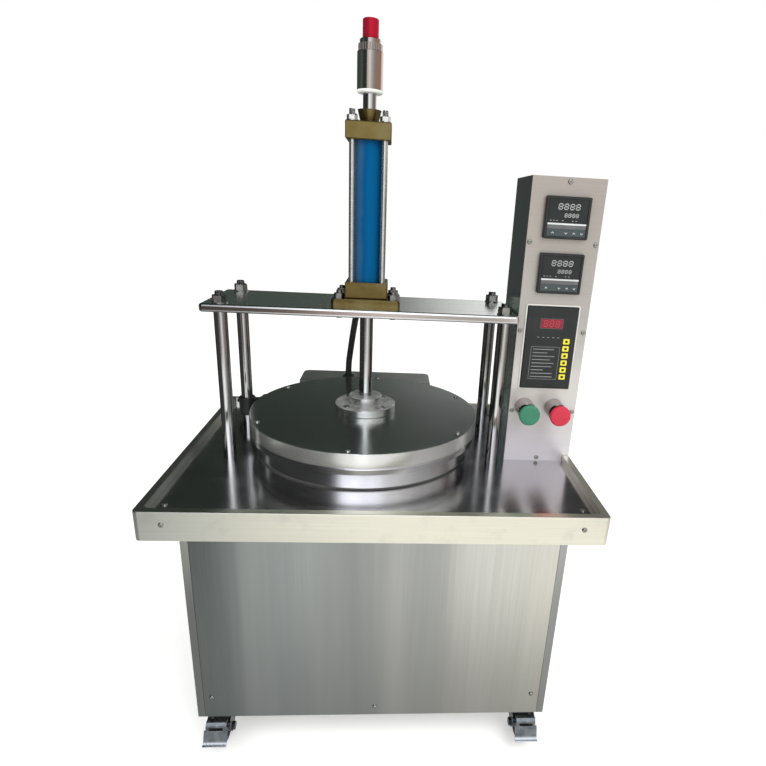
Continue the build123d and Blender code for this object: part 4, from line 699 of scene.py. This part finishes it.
mouldedLooks = {
    "heaterBand": {"colour": (0.2, 0.19, 0.17), "shade": (0.12, 0.11, 0.1), "rough": 0.6},
    "pressedFibre": {
        "colour": (0.26, 0.255, 0.25), "shade": (0.34, 0.335, 0.33), "rough": 0.8, "size": 300.0,
    },
    "wool": {"colour": (0.55, 0.5, 0.42), "shade": (0.4, 0.36, 0.3), "rough": 0.95, "size": 300.0},
    "tankPaint": {"colour": (0.08, 0.12, 0.16), "shade": (0.05, 0.08, 0.11), "rough": 0.45},
    "greenButton": {"colour": (0.044, 0.225, 0.13), "shade": (0.037, 0.19, 0.11), "rough": 0.4},
    "redButton": {"colour": (0.6, 0.026, 0.06), "shade": (0.54, 0.02, 0.05), "rough": 0.4},
    "blackPlastic": {"colour": (0.012, 0.012, 0.013), "shade": (0.02, 0.02, 0.021), "rough": 0.38},
    "blackRubber": {"colour": (0.012,) * 3, "shade": (0.022, 0.022, 0.021), "rough": 0.62, "size": 500.0},
    "smokedWindow": {
        "colour": (0.006, 0.007, 0.007), "shade": (0.011, 0.012, 0.012), "rough": 0.16, "size": 300.0,
    },
    "unlitFigures": {"colour": (0.36, 0.37, 0.37), "shade": (0.28, 0.29, 0.29), "rough": 0.4},
    "silverLine": {"colour": (0.62, 0.63, 0.63), "shade": (0.5, 0.51, 0.52), "rough": 0.3},
    "greyBand": {"colour": (0.12, 0.125, 0.125), "shade": (0.085, 0.09, 0.09), "rough": 0.5},
    "keyStrip": {"colour": (0.036, 0.055, 0.055), "shade": (0.05, 0.068, 0.066), "rough": 0.45},
    "paleRim": {"colour": (0.66, 0.66, 0.62), "shade": (0.56, 0.56, 0.53), "rough": 0.42},
    "timerFace": {"colour": (0.009, 0.011, 0.011), "shade": (0.015, 0.018, 0.018), "rough": 0.34},
    "redWindow": {"colour": (0.27, 0.014, 0.03), "shade": (0.2, 0.01, 0.022), "rough": 0.2, "size": 300.0},
    "redFigures": {"colour": (0.46, 0.05, 0.07), "shade": (0.38, 0.04, 0.055), "rough": 0.4},
    "palePrint": {"colour": (0.3, 0.31, 0.3), "shade": (0.2, 0.21, 0.2), "rough": 0.55},
    "yellowKeys": {"colour": (0.78, 0.7, 0.035), "shade": (0.68, 0.6, 0.03), "rough": 0.42},
    # painted shade in the screws' cross recesses
    "recessShade": {"colour": (0.06, 0.06, 0.057), "shade": (0.1, 0.1, 0.095), "rough": 0.7},
}


def evenly(look):  # a paint with one moulded look and no more
    return lambda finish: moulded(finish, **look)


def valveAlloy(finish):
    return moulded(finish, (0.5, 0.5, 0.48), (0.4, 0.4, 0.39), 0.5)


def redCap(finish):
    made = moulded(finish, (0.31, 0.004, 0.022), (0.25, 0.003, 0.017), 0.3)
    # painted shade: darker at the left, by the way the surface faces
    shade = finish.around([
        (0.0, (0.2, 0.003, 0.016)), (0.32, (0.19, 0.003, 0.015)), (0.5, (0.33, 0.003, 0.016)),
        (1.0, (0.29, 0.003, 0.014)),
    ])
    made["Base Color"] = finish.mix(0.85, made["Base Color"], shade)
    return made


wheelLook = {"middleY": -0.062, "axleY": 0.182, "axleZ": 0.025, "hub": (0.0172, 0.0166)}
collarLook = {"marks": 2200.0, "behind": (-0.0665, -0.0655)}
# painted highlight on the pedals' toe lips
toeHighlightLook = {"y": (-0.284, -0.2865), "z": (0.019, 0.023), "colour": (0.8, 0.82, 0.84)}


def wheelRubber(finish):  # black tread round a grey hub
    made = moulded(finish, (0.03, 0.03, 0.032), (0.05, 0.05, 0.052), 0.6, 420.0)
    y, z = finish.along("yz")
    offY = abs(y - wheelLook["middleY"]) - wheelLook["axleY"]  # from the front or the rear axle
    offZ = z - wheelLook["axleZ"]
    reach = offY.sum("SQRT", offY * offY + offZ * offZ)
    hub = finish.span(reach, *wheelLook["hub"])
    made["Base Color"] = finish.mix(hub, made["Base Color"], (0.16, 0.165, 0.17))
    return made


def collarMetal(finish):  # bright in front of the panel, black behind it
    y = finish.along("y")
    marks = finish.noise(finish.add("ShaderNodeCombineXYZ", None, {2: y * collarLook["marks"]}), 1.0, 2.0)
    tone = finish.ramp(marks, [(0.3, (0.3, 0.26, 0.25)), (0.7, (0.42, 0.375, 0.36))])
    behind = finish.span(y, *collarLook["behind"])
    tone = finish.mix(behind, tone, (0.02, 0.02, 0.022))
    return {"Base Color": tone, "Roughness": 0.2 + behind * 0.25, "Metallic": 1 - behind}


def casterZinc(finish):  # dull plating, with a painted highlight on the pedals' toes
    made = zincBolts(finish)
    y, z = finish.along("yz")
    cloud = finish.noise(finish.place(), 90.0, 4.0)
    toePaintedHighlight = finish.span(y, *toeHighlightLook["y"]) * finish.span(z, *toeHighlightLook["z"])
    tone = finish.mix(finish.span(cloud, 0.3, 0.7), (0.13, 0.15, 0.16), (0.23, 0.25, 0.26))
    made["Base Color"] = finish.mix(toePaintedHighlight, tone, toeHighlightLook["colour"])
    return made


def shadedForkZinc(finish):
    # painted shade: the forks darker than the pedals
    made = casterZinc(finish)
    made["Base Color"] = finish.mix(1.0, made["Base Color"], (0.5, 0.51, 0.52), "MULTIPLY")
    return made


metalPaints = {
    "casing": casingSheet,
    "tableTop": tableSheet,
    "boxSheet": boxSheet,
    "plateSteel": plateSteel,
    "platenSide": platenSide,
    "hubMetal": hubMetal,
    "chrome": chrome,
    "columnChrome": columnChrome,
    "zincBolts": zincBolts,
    "dullBolts": dullBolts,
    "screwZinc": screwZinc,
    "tieZinc": tieZinc,
    "sleeveChrome": sleeveChrome,
    "olivePlating": olivePlating,
    "casterZinc": casterZinc,
    "shadedForkZinc": shadedForkZinc,
}
finishes = {
    "cabinetFront": material("cabinetFront", frontSheet, Anisotropic=0.5, Metallic=1.0),
    "hoseSheet": material("hoseSheet", casingSheet, Metallic=0.9),
    "panelSheet": material("panelSheet", panelSheet, Metallic=0.6),
    "coverSheet": material("coverSheet", coverSheet),
    "bluePaint": material("bluePaint", bluePaint, **{"Specular IOR Level": 0.05}),
    "redCap": material("redCap", redCap, **{"Specular IOR Level": 0.16}),
    "wheelRubber": material("wheelRubber", wheelRubber),
    "collarMetal": material("collarMetal", collarMetal),
    "valveAlloy": material("valveAlloy", valveAlloy, Metallic=0.8),
}
for name, paint in metalPaints.items():
    finishes[name] = material(name, paint, Metallic=1.0)
for name, look in mouldedLooks.items():
    finishes[name] = material(name, evenly(look))
corners = ("front_left", "front_right", "rear_left", "rear_right")
wearers = {
    "cabinetFront": ("cabinet_front_panel",),
    "casing": ("cabinet_left_side", "cabinet_right_side", "cabinet_rear_panel", "cabinet_base"),
    "tableTop": ("table_tray",),
    "boxSheet": ("control_box",),
    "hoseSheet": ("rear_hose_box",),
    "panelSheet": ("control_panel",),
    "plateSteel": ("top_plate", "press_base_plate"),
    "platenSide": ("upper_platen", "lower_platen"),
    "coverSheet": ("platen_cover",),
    "hubMetal": ("rod_hub",),
    "chrome": ("piston_rod", "piston"),
    "columnChrome": ("press_columns",),
    "zincBolts": ("platen_screws", "hose_fittings"),
    "dullBolts": ("column_nuts", "flange_bolts"),
    "screwZinc": ("casing_screws",),
    "tieZinc": ("tie_rods",),
    "sleeveChrome": ("stroke_sleeve", "lock_ring"),
    "olivePlating": ("cylinder_flange", "cylinder_lower_block", "cylinder_upper_block", "rod_glands"),
    "bluePaint": ("cylinder_tube",),
    "redCap": ("rod_cap",),
    "greenButton": ("start_button",),
    "redButton": ("stop_button",),
    "blackPlastic": ("temperature_controllers", "timer_module", "lead_clamp", "platen_gland"),
    "blackRubber": ("hose_grommets",),
    "collarMetal": ("button_bodies",),
    "casterZinc": ("caster_plates", "brake_pedal_front_left", "brake_pedal_front_right"),
    "heaterBand": ("lower_heater", "upper_heater"),
    "wool": ("upper_insulation",),
    "pressedFibre": ("lower_insulation",),
    "tankPaint": ("oil_tank", "pump_motor"),
    "valveAlloy": ("valve_block",),
    "shadedForkZinc": [f"caster_fork_{corner}" for corner in corners],
    "wheelRubber": [f"caster_wheel_{corner}" for corner in corners],
}
for look, names in wearers.items():
    dress(finishes[look], *names)
print("stage: finishes on", len(nodes), "nodes")

# Hose and heater lead
cordLook = {"steps": 12, "order": 3, "bevelSteps": 6}
hoseLook = {
    "points": (
        (-0.036, 0.069, 0.78425), (-0.036, 0.114996, 0.78425), (-0.045, 0.150702, 0.771327),
        (-0.056, 0.182873, 0.744482), (-0.066, 0.207247, 0.705692), (-0.075, 0.229209, 0.65664),
        (-0.082, 0.24299, 0.608848), (-0.087, 0.248, 0.5734), (-0.087, 0.248, 0.546),
    ),
    "length": 0.3421,
    "diameter": 0.014,
}
leadLook = {
    "points": (
        (-0.285991, 0.092252, 0.529), (-0.290861, 0.104306, 0.529), (-0.299491, 0.114252, 0.527),
        (-0.309391, 0.124952, 0.5205), (-0.312591, 0.138352, 0.5126), (-0.307091, 0.151952, 0.5064),
        (-0.294191, 0.161152, 0.5048), (-0.278791, 0.162452, 0.5085), (-0.266291, 0.155952, 0.5159),
        (-0.259491, 0.144152, 0.5241), (-0.255191, 0.132152, 0.5288), (-0.24731, 0.122, 0.5315),
        (-0.236052, 0.1155, 0.5315),
    ),
    "length": 0.1746,
    "diameter": 0.007,
    "sides": 16,
}


def cordCurve(name, points):
    curve = bpy.data.curves.new(name, "CURVE")
    curve.dimensions = "3D"
    curve.resolution_u = cordLook["steps"]
    spline = curve.splines.new("NURBS")
    spline.points.add(len(points) - 1)
    for knot, point in zip(spline.points, points):
        knot.co = (*point, 1)
    spline.order_u = cordLook["order"]
    spline.use_endpoint_u = True
    cord = bpy.data.objects.new(name, curve)
    scene.collection.objects.link(cord)
    return cord


def makeHose():
    look = hoseLook
    hose = cordCurve("hydraulicHose", look["points"])
    hose.data.bevel_depth = look["diameter"] / 2
    hose.data.bevel_resolution = cordLook["bevelSteps"]
    hose.data.use_fill_caps = True
    hose.data.materials.append(finishes["blackRubber"])
    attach(hose, "frame")
    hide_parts("hydraulic_hose")


def makeLead():  # a mesh, swept round the guide curve
    look = leadLook
    guide = cordCurve("leadGuide", look["points"])
    bpy.context.view_layer.update()
    line = bpy.data.meshes.new_from_object(guide.evaluated_get(bpy.context.evaluated_depsgraph_get()))
    path = [vertex.co.copy() for vertex in line.vertices]
    bpy.data.meshes.remove(line)
    bpy.data.objects.remove(guide)
    shape = bmesh.new()
    rings = []
    side = Vector((0, 0, 1))
    for place, point in enumerate(path):
        ahead = (path[min(place + 1, len(path) - 1)] - path[max(place - 1, 0)]).normalized()
        side = (side - ahead * side.dot(ahead)).normalized()
        up = ahead.cross(side)
        rings.append([
            shape.verts.new(point + (side * cos(turn) + up * sin(turn)) * look["diameter"] / 2)
            for turn in (2 * pi * i / look["sides"] for i in range(look["sides"]))
        ])
    closeRings(shape, rings)
    lead = settle("heaterLead", shape, "blackRubber")
    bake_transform(lead)
    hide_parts("heater_lead")


def joinRings(shape, rings):
    for lower, upper in zip(rings, rings[1:]):
        for i in range(len(lower)):
            j = (i + 1) % len(lower)
            shape.faces.new((lower[i], lower[j], upper[j], upper[i]))


def closeRings(shape, rings):  # joined, and shut at both ends
    joinRings(shape, rings)
    shape.faces.new(list(reversed(rings[0])))
    shape.faces.new(rings[-1])


def settle(name, shape, look, body=None, smooth=True):  # a finished mesh into the scene
    bmesh.ops.recalc_face_normals(shape, faces=shape.faces)
    mesh = bpy.data.meshes.new(name)
    shape.to_mesh(mesh)
    shape.free()
    mesh.materials.append(finishes[look])
    for face in mesh.polygons:
        face.use_smooth = smooth
    piece = bpy.data.objects.new(name, mesh)
    scene.collection.objects.link(piece)
    if body:
        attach(piece, body)
    return piece


# Flat pieces on the control panel, drawn in x and z and standing towards the operator
flatLook = {"cornerSteps": 5, "leastCorner": 0.0002, "wallEase": 0.2, "barGap": 0.1, "lean": 0.1}
inkLook = {"proud": 0.0001, "edge": 0.00003}  # figures, rules and marks


def grown(size, more):
    return (size[0] + more, size[1] + more)


def roundLoop(shape, middle, size, corner, y):
    reachX, reachZ = size[0] / 2 - corner, size[1] / 2 - corner
    steps = flatLook["cornerSteps"]
    ring = []
    for quarter, (sideX, sideZ) in enumerate(((1, 1), (-1, 1), (-1, -1), (1, -1))):
        for step in range(steps + 1):
            turn = pi / 2 * (quarter + step / steps)
            x = middle[0] + sideX * reachX + corner * cos(turn)
            z = middle[1] + sideZ * reachZ + corner * sin(turn)
            ring.append(shape.verts.new((x, y, z)))
    return ring


def slab(shape, middle, size, back, proud, corner=0.001, edge=0.0002):  # rounded plate, front edge eased
    closeRings(shape, [
        roundLoop(shape, middle, size, corner, back),
        roundLoop(shape, middle, size, corner, back - proud + edge),
        roundLoop(shape, middle, grown(size, -2 * edge), max(corner - edge, edge), back - proud),
    ])


def border(shape, middle, size, wall, back, proud, corner):  # raised frame round an opening
    inner = grown(size, -2 * wall)
    within = max(corner - wall, flatLook["leastCorner"])
    ease = wall * flatLook["wallEase"]
    rings = [
        roundLoop(shape, middle, size, corner, back),
        roundLoop(shape, middle, size, corner, back - proud + ease),
        roundLoop(shape, middle, grown(size, -2 * ease), corner, back - proud),
        roundLoop(shape, middle, grown(inner, 2 * ease), within, back - proud),
        roundLoop(shape, middle, inner, within, back - proud + ease),
        roundLoop(shape, middle, inner, within, back),
    ]
    joinRings(shape, rings + rings[:1])


def segmentBar(shape, start, end, width, back):  # one bar of a figure, pointed at both ends
    along = (Vector(end) - Vector(start)).normalized()
    side = Vector((-along[1], along[0])) * width / 2
    inset = along * width / 2
    first, last = Vector(start) + inset, Vector(end) - inset
    outline = [Vector(start), first + side, last + side, Vector(end), last - side, first - side]
    depths = (back, back - inkLook["proud"])
    closeRings(shape, [[shape.verts.new((p[0], y, p[1])) for p in outline] for y in depths])


def figure(shape, middle, size, width, back):  # seven unlit bars
    halfX, halfZ = size[0] / 2, size[1] / 2
    gap = flatLook["barGap"]

    def spot(x, z):
        return (middle[0] + x * halfX + flatLook["lean"] * z * halfZ, middle[1] + z * halfZ)

    for z in (-1, 0, 1):
        segmentBar(shape, spot(-1 + gap, z), spot(1 - gap, z), width, back)
    for x in (-1, 1):
        for low, high in ((-1 + gap, -gap), (gap, 1 - gap)):
            segmentBar(shape, spot(x, low), spot(x, high), width, back)


controllerLook = {  # across and down are shares of the face, from its upper left corner
    "middles": ((0.2925, 0.923), (0.2925, 0.833)),
    "size": (0.075, 0.067),
    "front": -0.077,
    "bezel": {"wall": 0.0046, "proud": 0.0016, "corner": 0.0024},
    "stripWidth": 0.87,
    "strips": {
        "Window": {"down": 0.335, "high": 0.55, "proud": 0.0005, "corner": 0.001},
        "Line": {"down": 0.645, "high": 0.042, "proud": 0.0011, "corner": 0.0004},
        "Band": {"down": 0.715, "high": 0.09, "proud": 0.0007, "corner": 0.0004},
        "KeyStrip": {"down": 0.86, "high": 0.19, "proud": 0.0006, "corner": 0.0006},
    },
    "figureRows": (
        {"left": 0.32, "right": 0.71, "down": 0.24, "size": (0.0062, 0.0082), "bar": 0.0015},
        {"left": 0.46, "right": 0.71, "down": 0.44, "size": (0.0042, 0.0052), "bar": 0.0011},
    ),
    "figureCount": 4,
    "lamps": {"across": (0.13, 0.2, 0.27, 0.4, 0.62, 0.7), "down": 0.565},
    "lampLook": {"size": (0.0026, 0.0009), "corner": 0.0003},
    "keys": {"across": (0.2, 0.5, 0.68, 0.85), "down": 0.855},
    "keyLook": {"size": (0.0095, 0.0075), "proud": 0.0004, "corner": 0.0022},
    "arrow": {"half": 0.0021, "foot": 0.0012, "tip": 0.0014, "bar": 0.0008},
    "wears": {
        "Bezel": "blackPlastic",
        "Window": "smokedWindow",
        "Figures": "unlitFigures",
        "Line": "silverLine",
        "Band": "greyBand",
        "KeyStrip": "keyStrip",
        "Keys": "keyStrip",
        "KeyMarks": "silverLine",
    },
}


def makeControllers():
    look = controllerLook
    width, height = look["size"]
    front = look["front"]
    window = front - look["strips"]["Window"]["proud"]
    keyFoot = front - look["strips"]["KeyStrip"]["proud"]
    keyFace = keyFoot - look["keyLook"]["proud"]
    arrow = look["arrow"]
    shapes = {name: bmesh.new() for name in look["wears"]}
    for middle in look["middles"]:
        def spot(across, down):
            return (middle[0] + (across - 0.5) * width, middle[1] + (0.5 - down) * height)

        border(shapes["Bezel"], middle, look["size"], back=front, **look["bezel"])
        for name, strip in look["strips"].items():
            size = (width * look["stripWidth"], height * strip["high"])
            slab(shapes[name], spot(0.5, strip["down"]), size, front, strip["proud"], strip["corner"])
        for row in look["figureRows"]:
            for place in range(look["figureCount"]):
                across = row["left"] + (row["right"] - row["left"]) * place / (look["figureCount"] - 1)
                figure(shapes["Figures"], spot(across, row["down"]), row["size"], row["bar"], window)
        for across in look["lamps"]["across"]:
            lamp = spot(across, look["lamps"]["down"])
            slab(shapes["Figures"], lamp, back=window, **look["lampLook"], **inkLook)
        for place, across in enumerate(look["keys"]["across"]):
            x, z = spot(across, look["keys"]["down"])
            slab(shapes["Keys"], (x, z), back=keyFoot, **look["keyLook"])
            flip = -1 if place % 2 else 1
            tip = (x, z + flip * arrow["tip"])
            for side in (-1, 1):
                foot = (x + side * arrow["half"], z - flip * arrow["foot"])
                segmentBar(shapes["KeyMarks"], foot, tip, arrow["bar"], keyFace)
    for name, wear in look["wears"].items():
        settle("controller" + name, shapes[name], wear, "frame", smooth=False)


timerLook = {
    "middle": (0.29, 0.7025),
    "front": -0.0725,
    "rim": {"size": (0.096, 0.154), "wall": 0.0024, "back": -0.069, "proud": 0.0022, "corner": 0.004},
    "face": {"size": (0.088, 0.146), "proud": 0.0003, "corner": 0.002},
    "windowMiddle": (0.2895, 0.747),
    "window": {"size": (0.039, 0.016), "proud": 0.0004, "corner": 0.001},
    "windowFrame": {"size": (0.041, 0.018), "wall": 0.0009, "proud": 0.0008, "corner": 0.0018},
    "figures": {"step": 0.0105, "size": (0.0062, 0.0104), "bar": 0.0013},
    "lamps": {"x": (0.268, 0.277, 0.286, 0.295, 0.304), "z": 0.7225},
    "lampLook": {"size": (0.004, 0.0009), "corner": 0.0003},
    "card": {"middle": (0.2835, 0.6755), "size": (0.052, 0.06), "wall": 0.0006, "corner": 0.0008},
    "rules": {"wide": 0.86, "tall": 0.84, "thick": 0.0013, "corner": 0.0004},  # wide and tall: of the card
    "ruleLengths": (0.86, 0.6, 0.9, 0.74, 0.9, 0.82, 0.5, 0.88, 0.9),
    "keys": {"x": 0.3195, "top": 0.716, "step": 0.013, "count": 6},
    "keyLook": {"size": (0.0115, 0.0098), "proud": 0.0007, "corner": 0.0016, "edge": 0.0003},
    "dotLook": {"size": (0.0048, 0.0044), "corner": 0.0016},
    "wears": {
        "Rim": "paleRim",
        "Face": "timerFace",
        "Window": "redWindow",
        "WindowFrame": "greyBand",
        "Figures": "redFigures",
        "Print": "palePrint",
        "Keys": "yellowKeys",
        "KeyDots": "blackPlastic",
    },
}


def makeTimer():
    look = timerLook
    face = look["front"] - look["face"]["proud"]
    shapes = {name: bmesh.new() for name in look["wears"]}
    border(shapes["Rim"], look["middle"], **look["rim"])
    slab(shapes["Face"], look["middle"], back=look["front"], **look["face"])
    slab(shapes["Window"], look["windowMiddle"], back=face, **look["window"])
    border(shapes["WindowFrame"], look["windowMiddle"], back=face, **look["windowFrame"])
    figures = look["figures"]
    x, z = look["windowMiddle"]
    for place in (-1, 0, 1):
        spot = (x + place * figures["step"], z)
        figure(shapes["Figures"], spot, figures["size"], figures["bar"], face - look["window"]["proud"])
    for x in look["lamps"]["x"]:
        slab(shapes["Print"], (x, look["lamps"]["z"]), back=face, **look["lampLook"], **inkLook)
    card = look["card"]
    border(shapes["Print"], back=face, proud=inkLook["proud"], **card)
    rules = look["rules"]
    left = card["middle"][0] - card["size"][0] * rules["wide"] / 2
    for place, share in enumerate(look["ruleLengths"]):
        length = card["size"][0] * share * rules["wide"]
        down = place / (len(look["ruleLengths"]) - 1)
        spot = (left + length / 2, card["middle"][1] + card["size"][1] * rules["tall"] * (0.5 - down))
        slab(shapes["Print"], spot, (length, rules["thick"]), face, corner=rules["corner"], **inkLook)
    keys = look["keys"]
    for place in range(keys["count"]):
        spot = (keys["x"], keys["top"] - keys["step"] * place)
        slab(shapes["Keys"], spot, back=face, **look["keyLook"])
        slab(shapes["KeyDots"], spot, back=face - look["keyLook"]["proud"], **look["dotLook"], **inkLook)
    for name, wear in look["wears"].items():
        settle("timer" + name, shapes[name], wear, "frame", smooth=False)


# Cross recesses in the pan heads, drawn as dark crosses of painted shade: where each head's face is, the way
# it faces and its turn
screwLook = {
    "length": 0.0036,
    "width": 0.0009,
    "cut": 0.6,  # where the ends' corners begin
    "deep": 0.00018,
    "proud": 0.00006,
    "turn": {"first": 0.4, "step": 1.3},
    "front": ((-0.279, -0.2674, 0.1135), (0.279, -0.2674, 0.1135), (0.0, -0.2674, 0.088)),
    "fascia": ((-0.314, -0.3024, 0.474), (0.314, -0.3024, 0.474)),
    "table": ((-0.323, -0.258, 0.4854), (0.323, -0.258, 0.4854)),
    "panelEnds": ((0.29225, -0.0714, 0.979), (0.29225, -0.0714, 0.49)),
    "panel": {"x": (0.2355, 0.349), "y": -0.0714, "z": (0.8825, 0.7325, 0.5835)},
    "rear": {"x": (-0.2915, 0.2915), "y": 0.1889, "z": (0.14, 0.27575, 0.4415)},
    "cover": {"reach": 0.205, "count": 6, "first": 25.0, "z": 0.556, "step": 0.6},
}


def crossRecess(shape, place, facing, turn):
    look = screwLook
    cut = look["cut"]
    ends = ((-1, -cut), (-cut, -1), (cut, -1), (1, -cut), (1, cut), (cut, 1), (-cut, 1), (-1, cut))
    place, facing = Vector(place), Vector(facing)
    first = facing.orthogonal().normalized()
    second = facing.cross(first)
    for quarter in (0, pi / 2):
        along = first * cos(turn + quarter) + second * sin(turn + quarter)
        across = facing.cross(along)
        outline = [
            place + along * a * look["length"] / 2 + across * b * look["width"] / 2 for a, b in ends
        ]
        heights = (-look["deep"], look["proud"])
        closeRings(shape, [[shape.verts.new(p + facing * height) for p in outline] for height in heights])


def makeRecesses():
    look = screwLook
    shape = bmesh.new()
    panel, rear = (
        [(x, row["y"], z) for x in row["x"] for z in row["z"]] for row in (look["panel"], look["rear"])
    )
    ahead = [*look["front"], *look["fascia"], *look["panelEnds"], *panel]
    spots = [(place, (0, -1, 0)) for place in ahead]
    spots += [(place, (0, 0, 1)) for place in look["table"]]
    spots += [(place, (0, 1, 0)) for place in rear]
    for place, (spot, facing) in enumerate(spots):
        crossRecess(shape, spot, facing, look["turn"]["first"] + look["turn"]["step"] * place)
    settle("screwRecesses", shape, "recessShade", "frame", smooth=False)
    shape = bmesh.new()
    cover = look["cover"]
    for place in range(cover["count"]):
        turn = radians(cover["first"] + 360 / cover["count"] * place)
        spot = (pressX + cover["reach"] * cos(turn), cover["reach"] * sin(turn), cover["z"])
        crossRecess(shape, spot, (0, 0, 1), turn + cover["step"] * place)
    settle("coverScrewRecesses", shape, "recessShade", "press_head", smooth=False)


makeHose()
makeLead()
print("stage: cords laid")
makeControllers()
makeTimer()
makeRecesses()
print("stage: panel faces and screw recesses made")
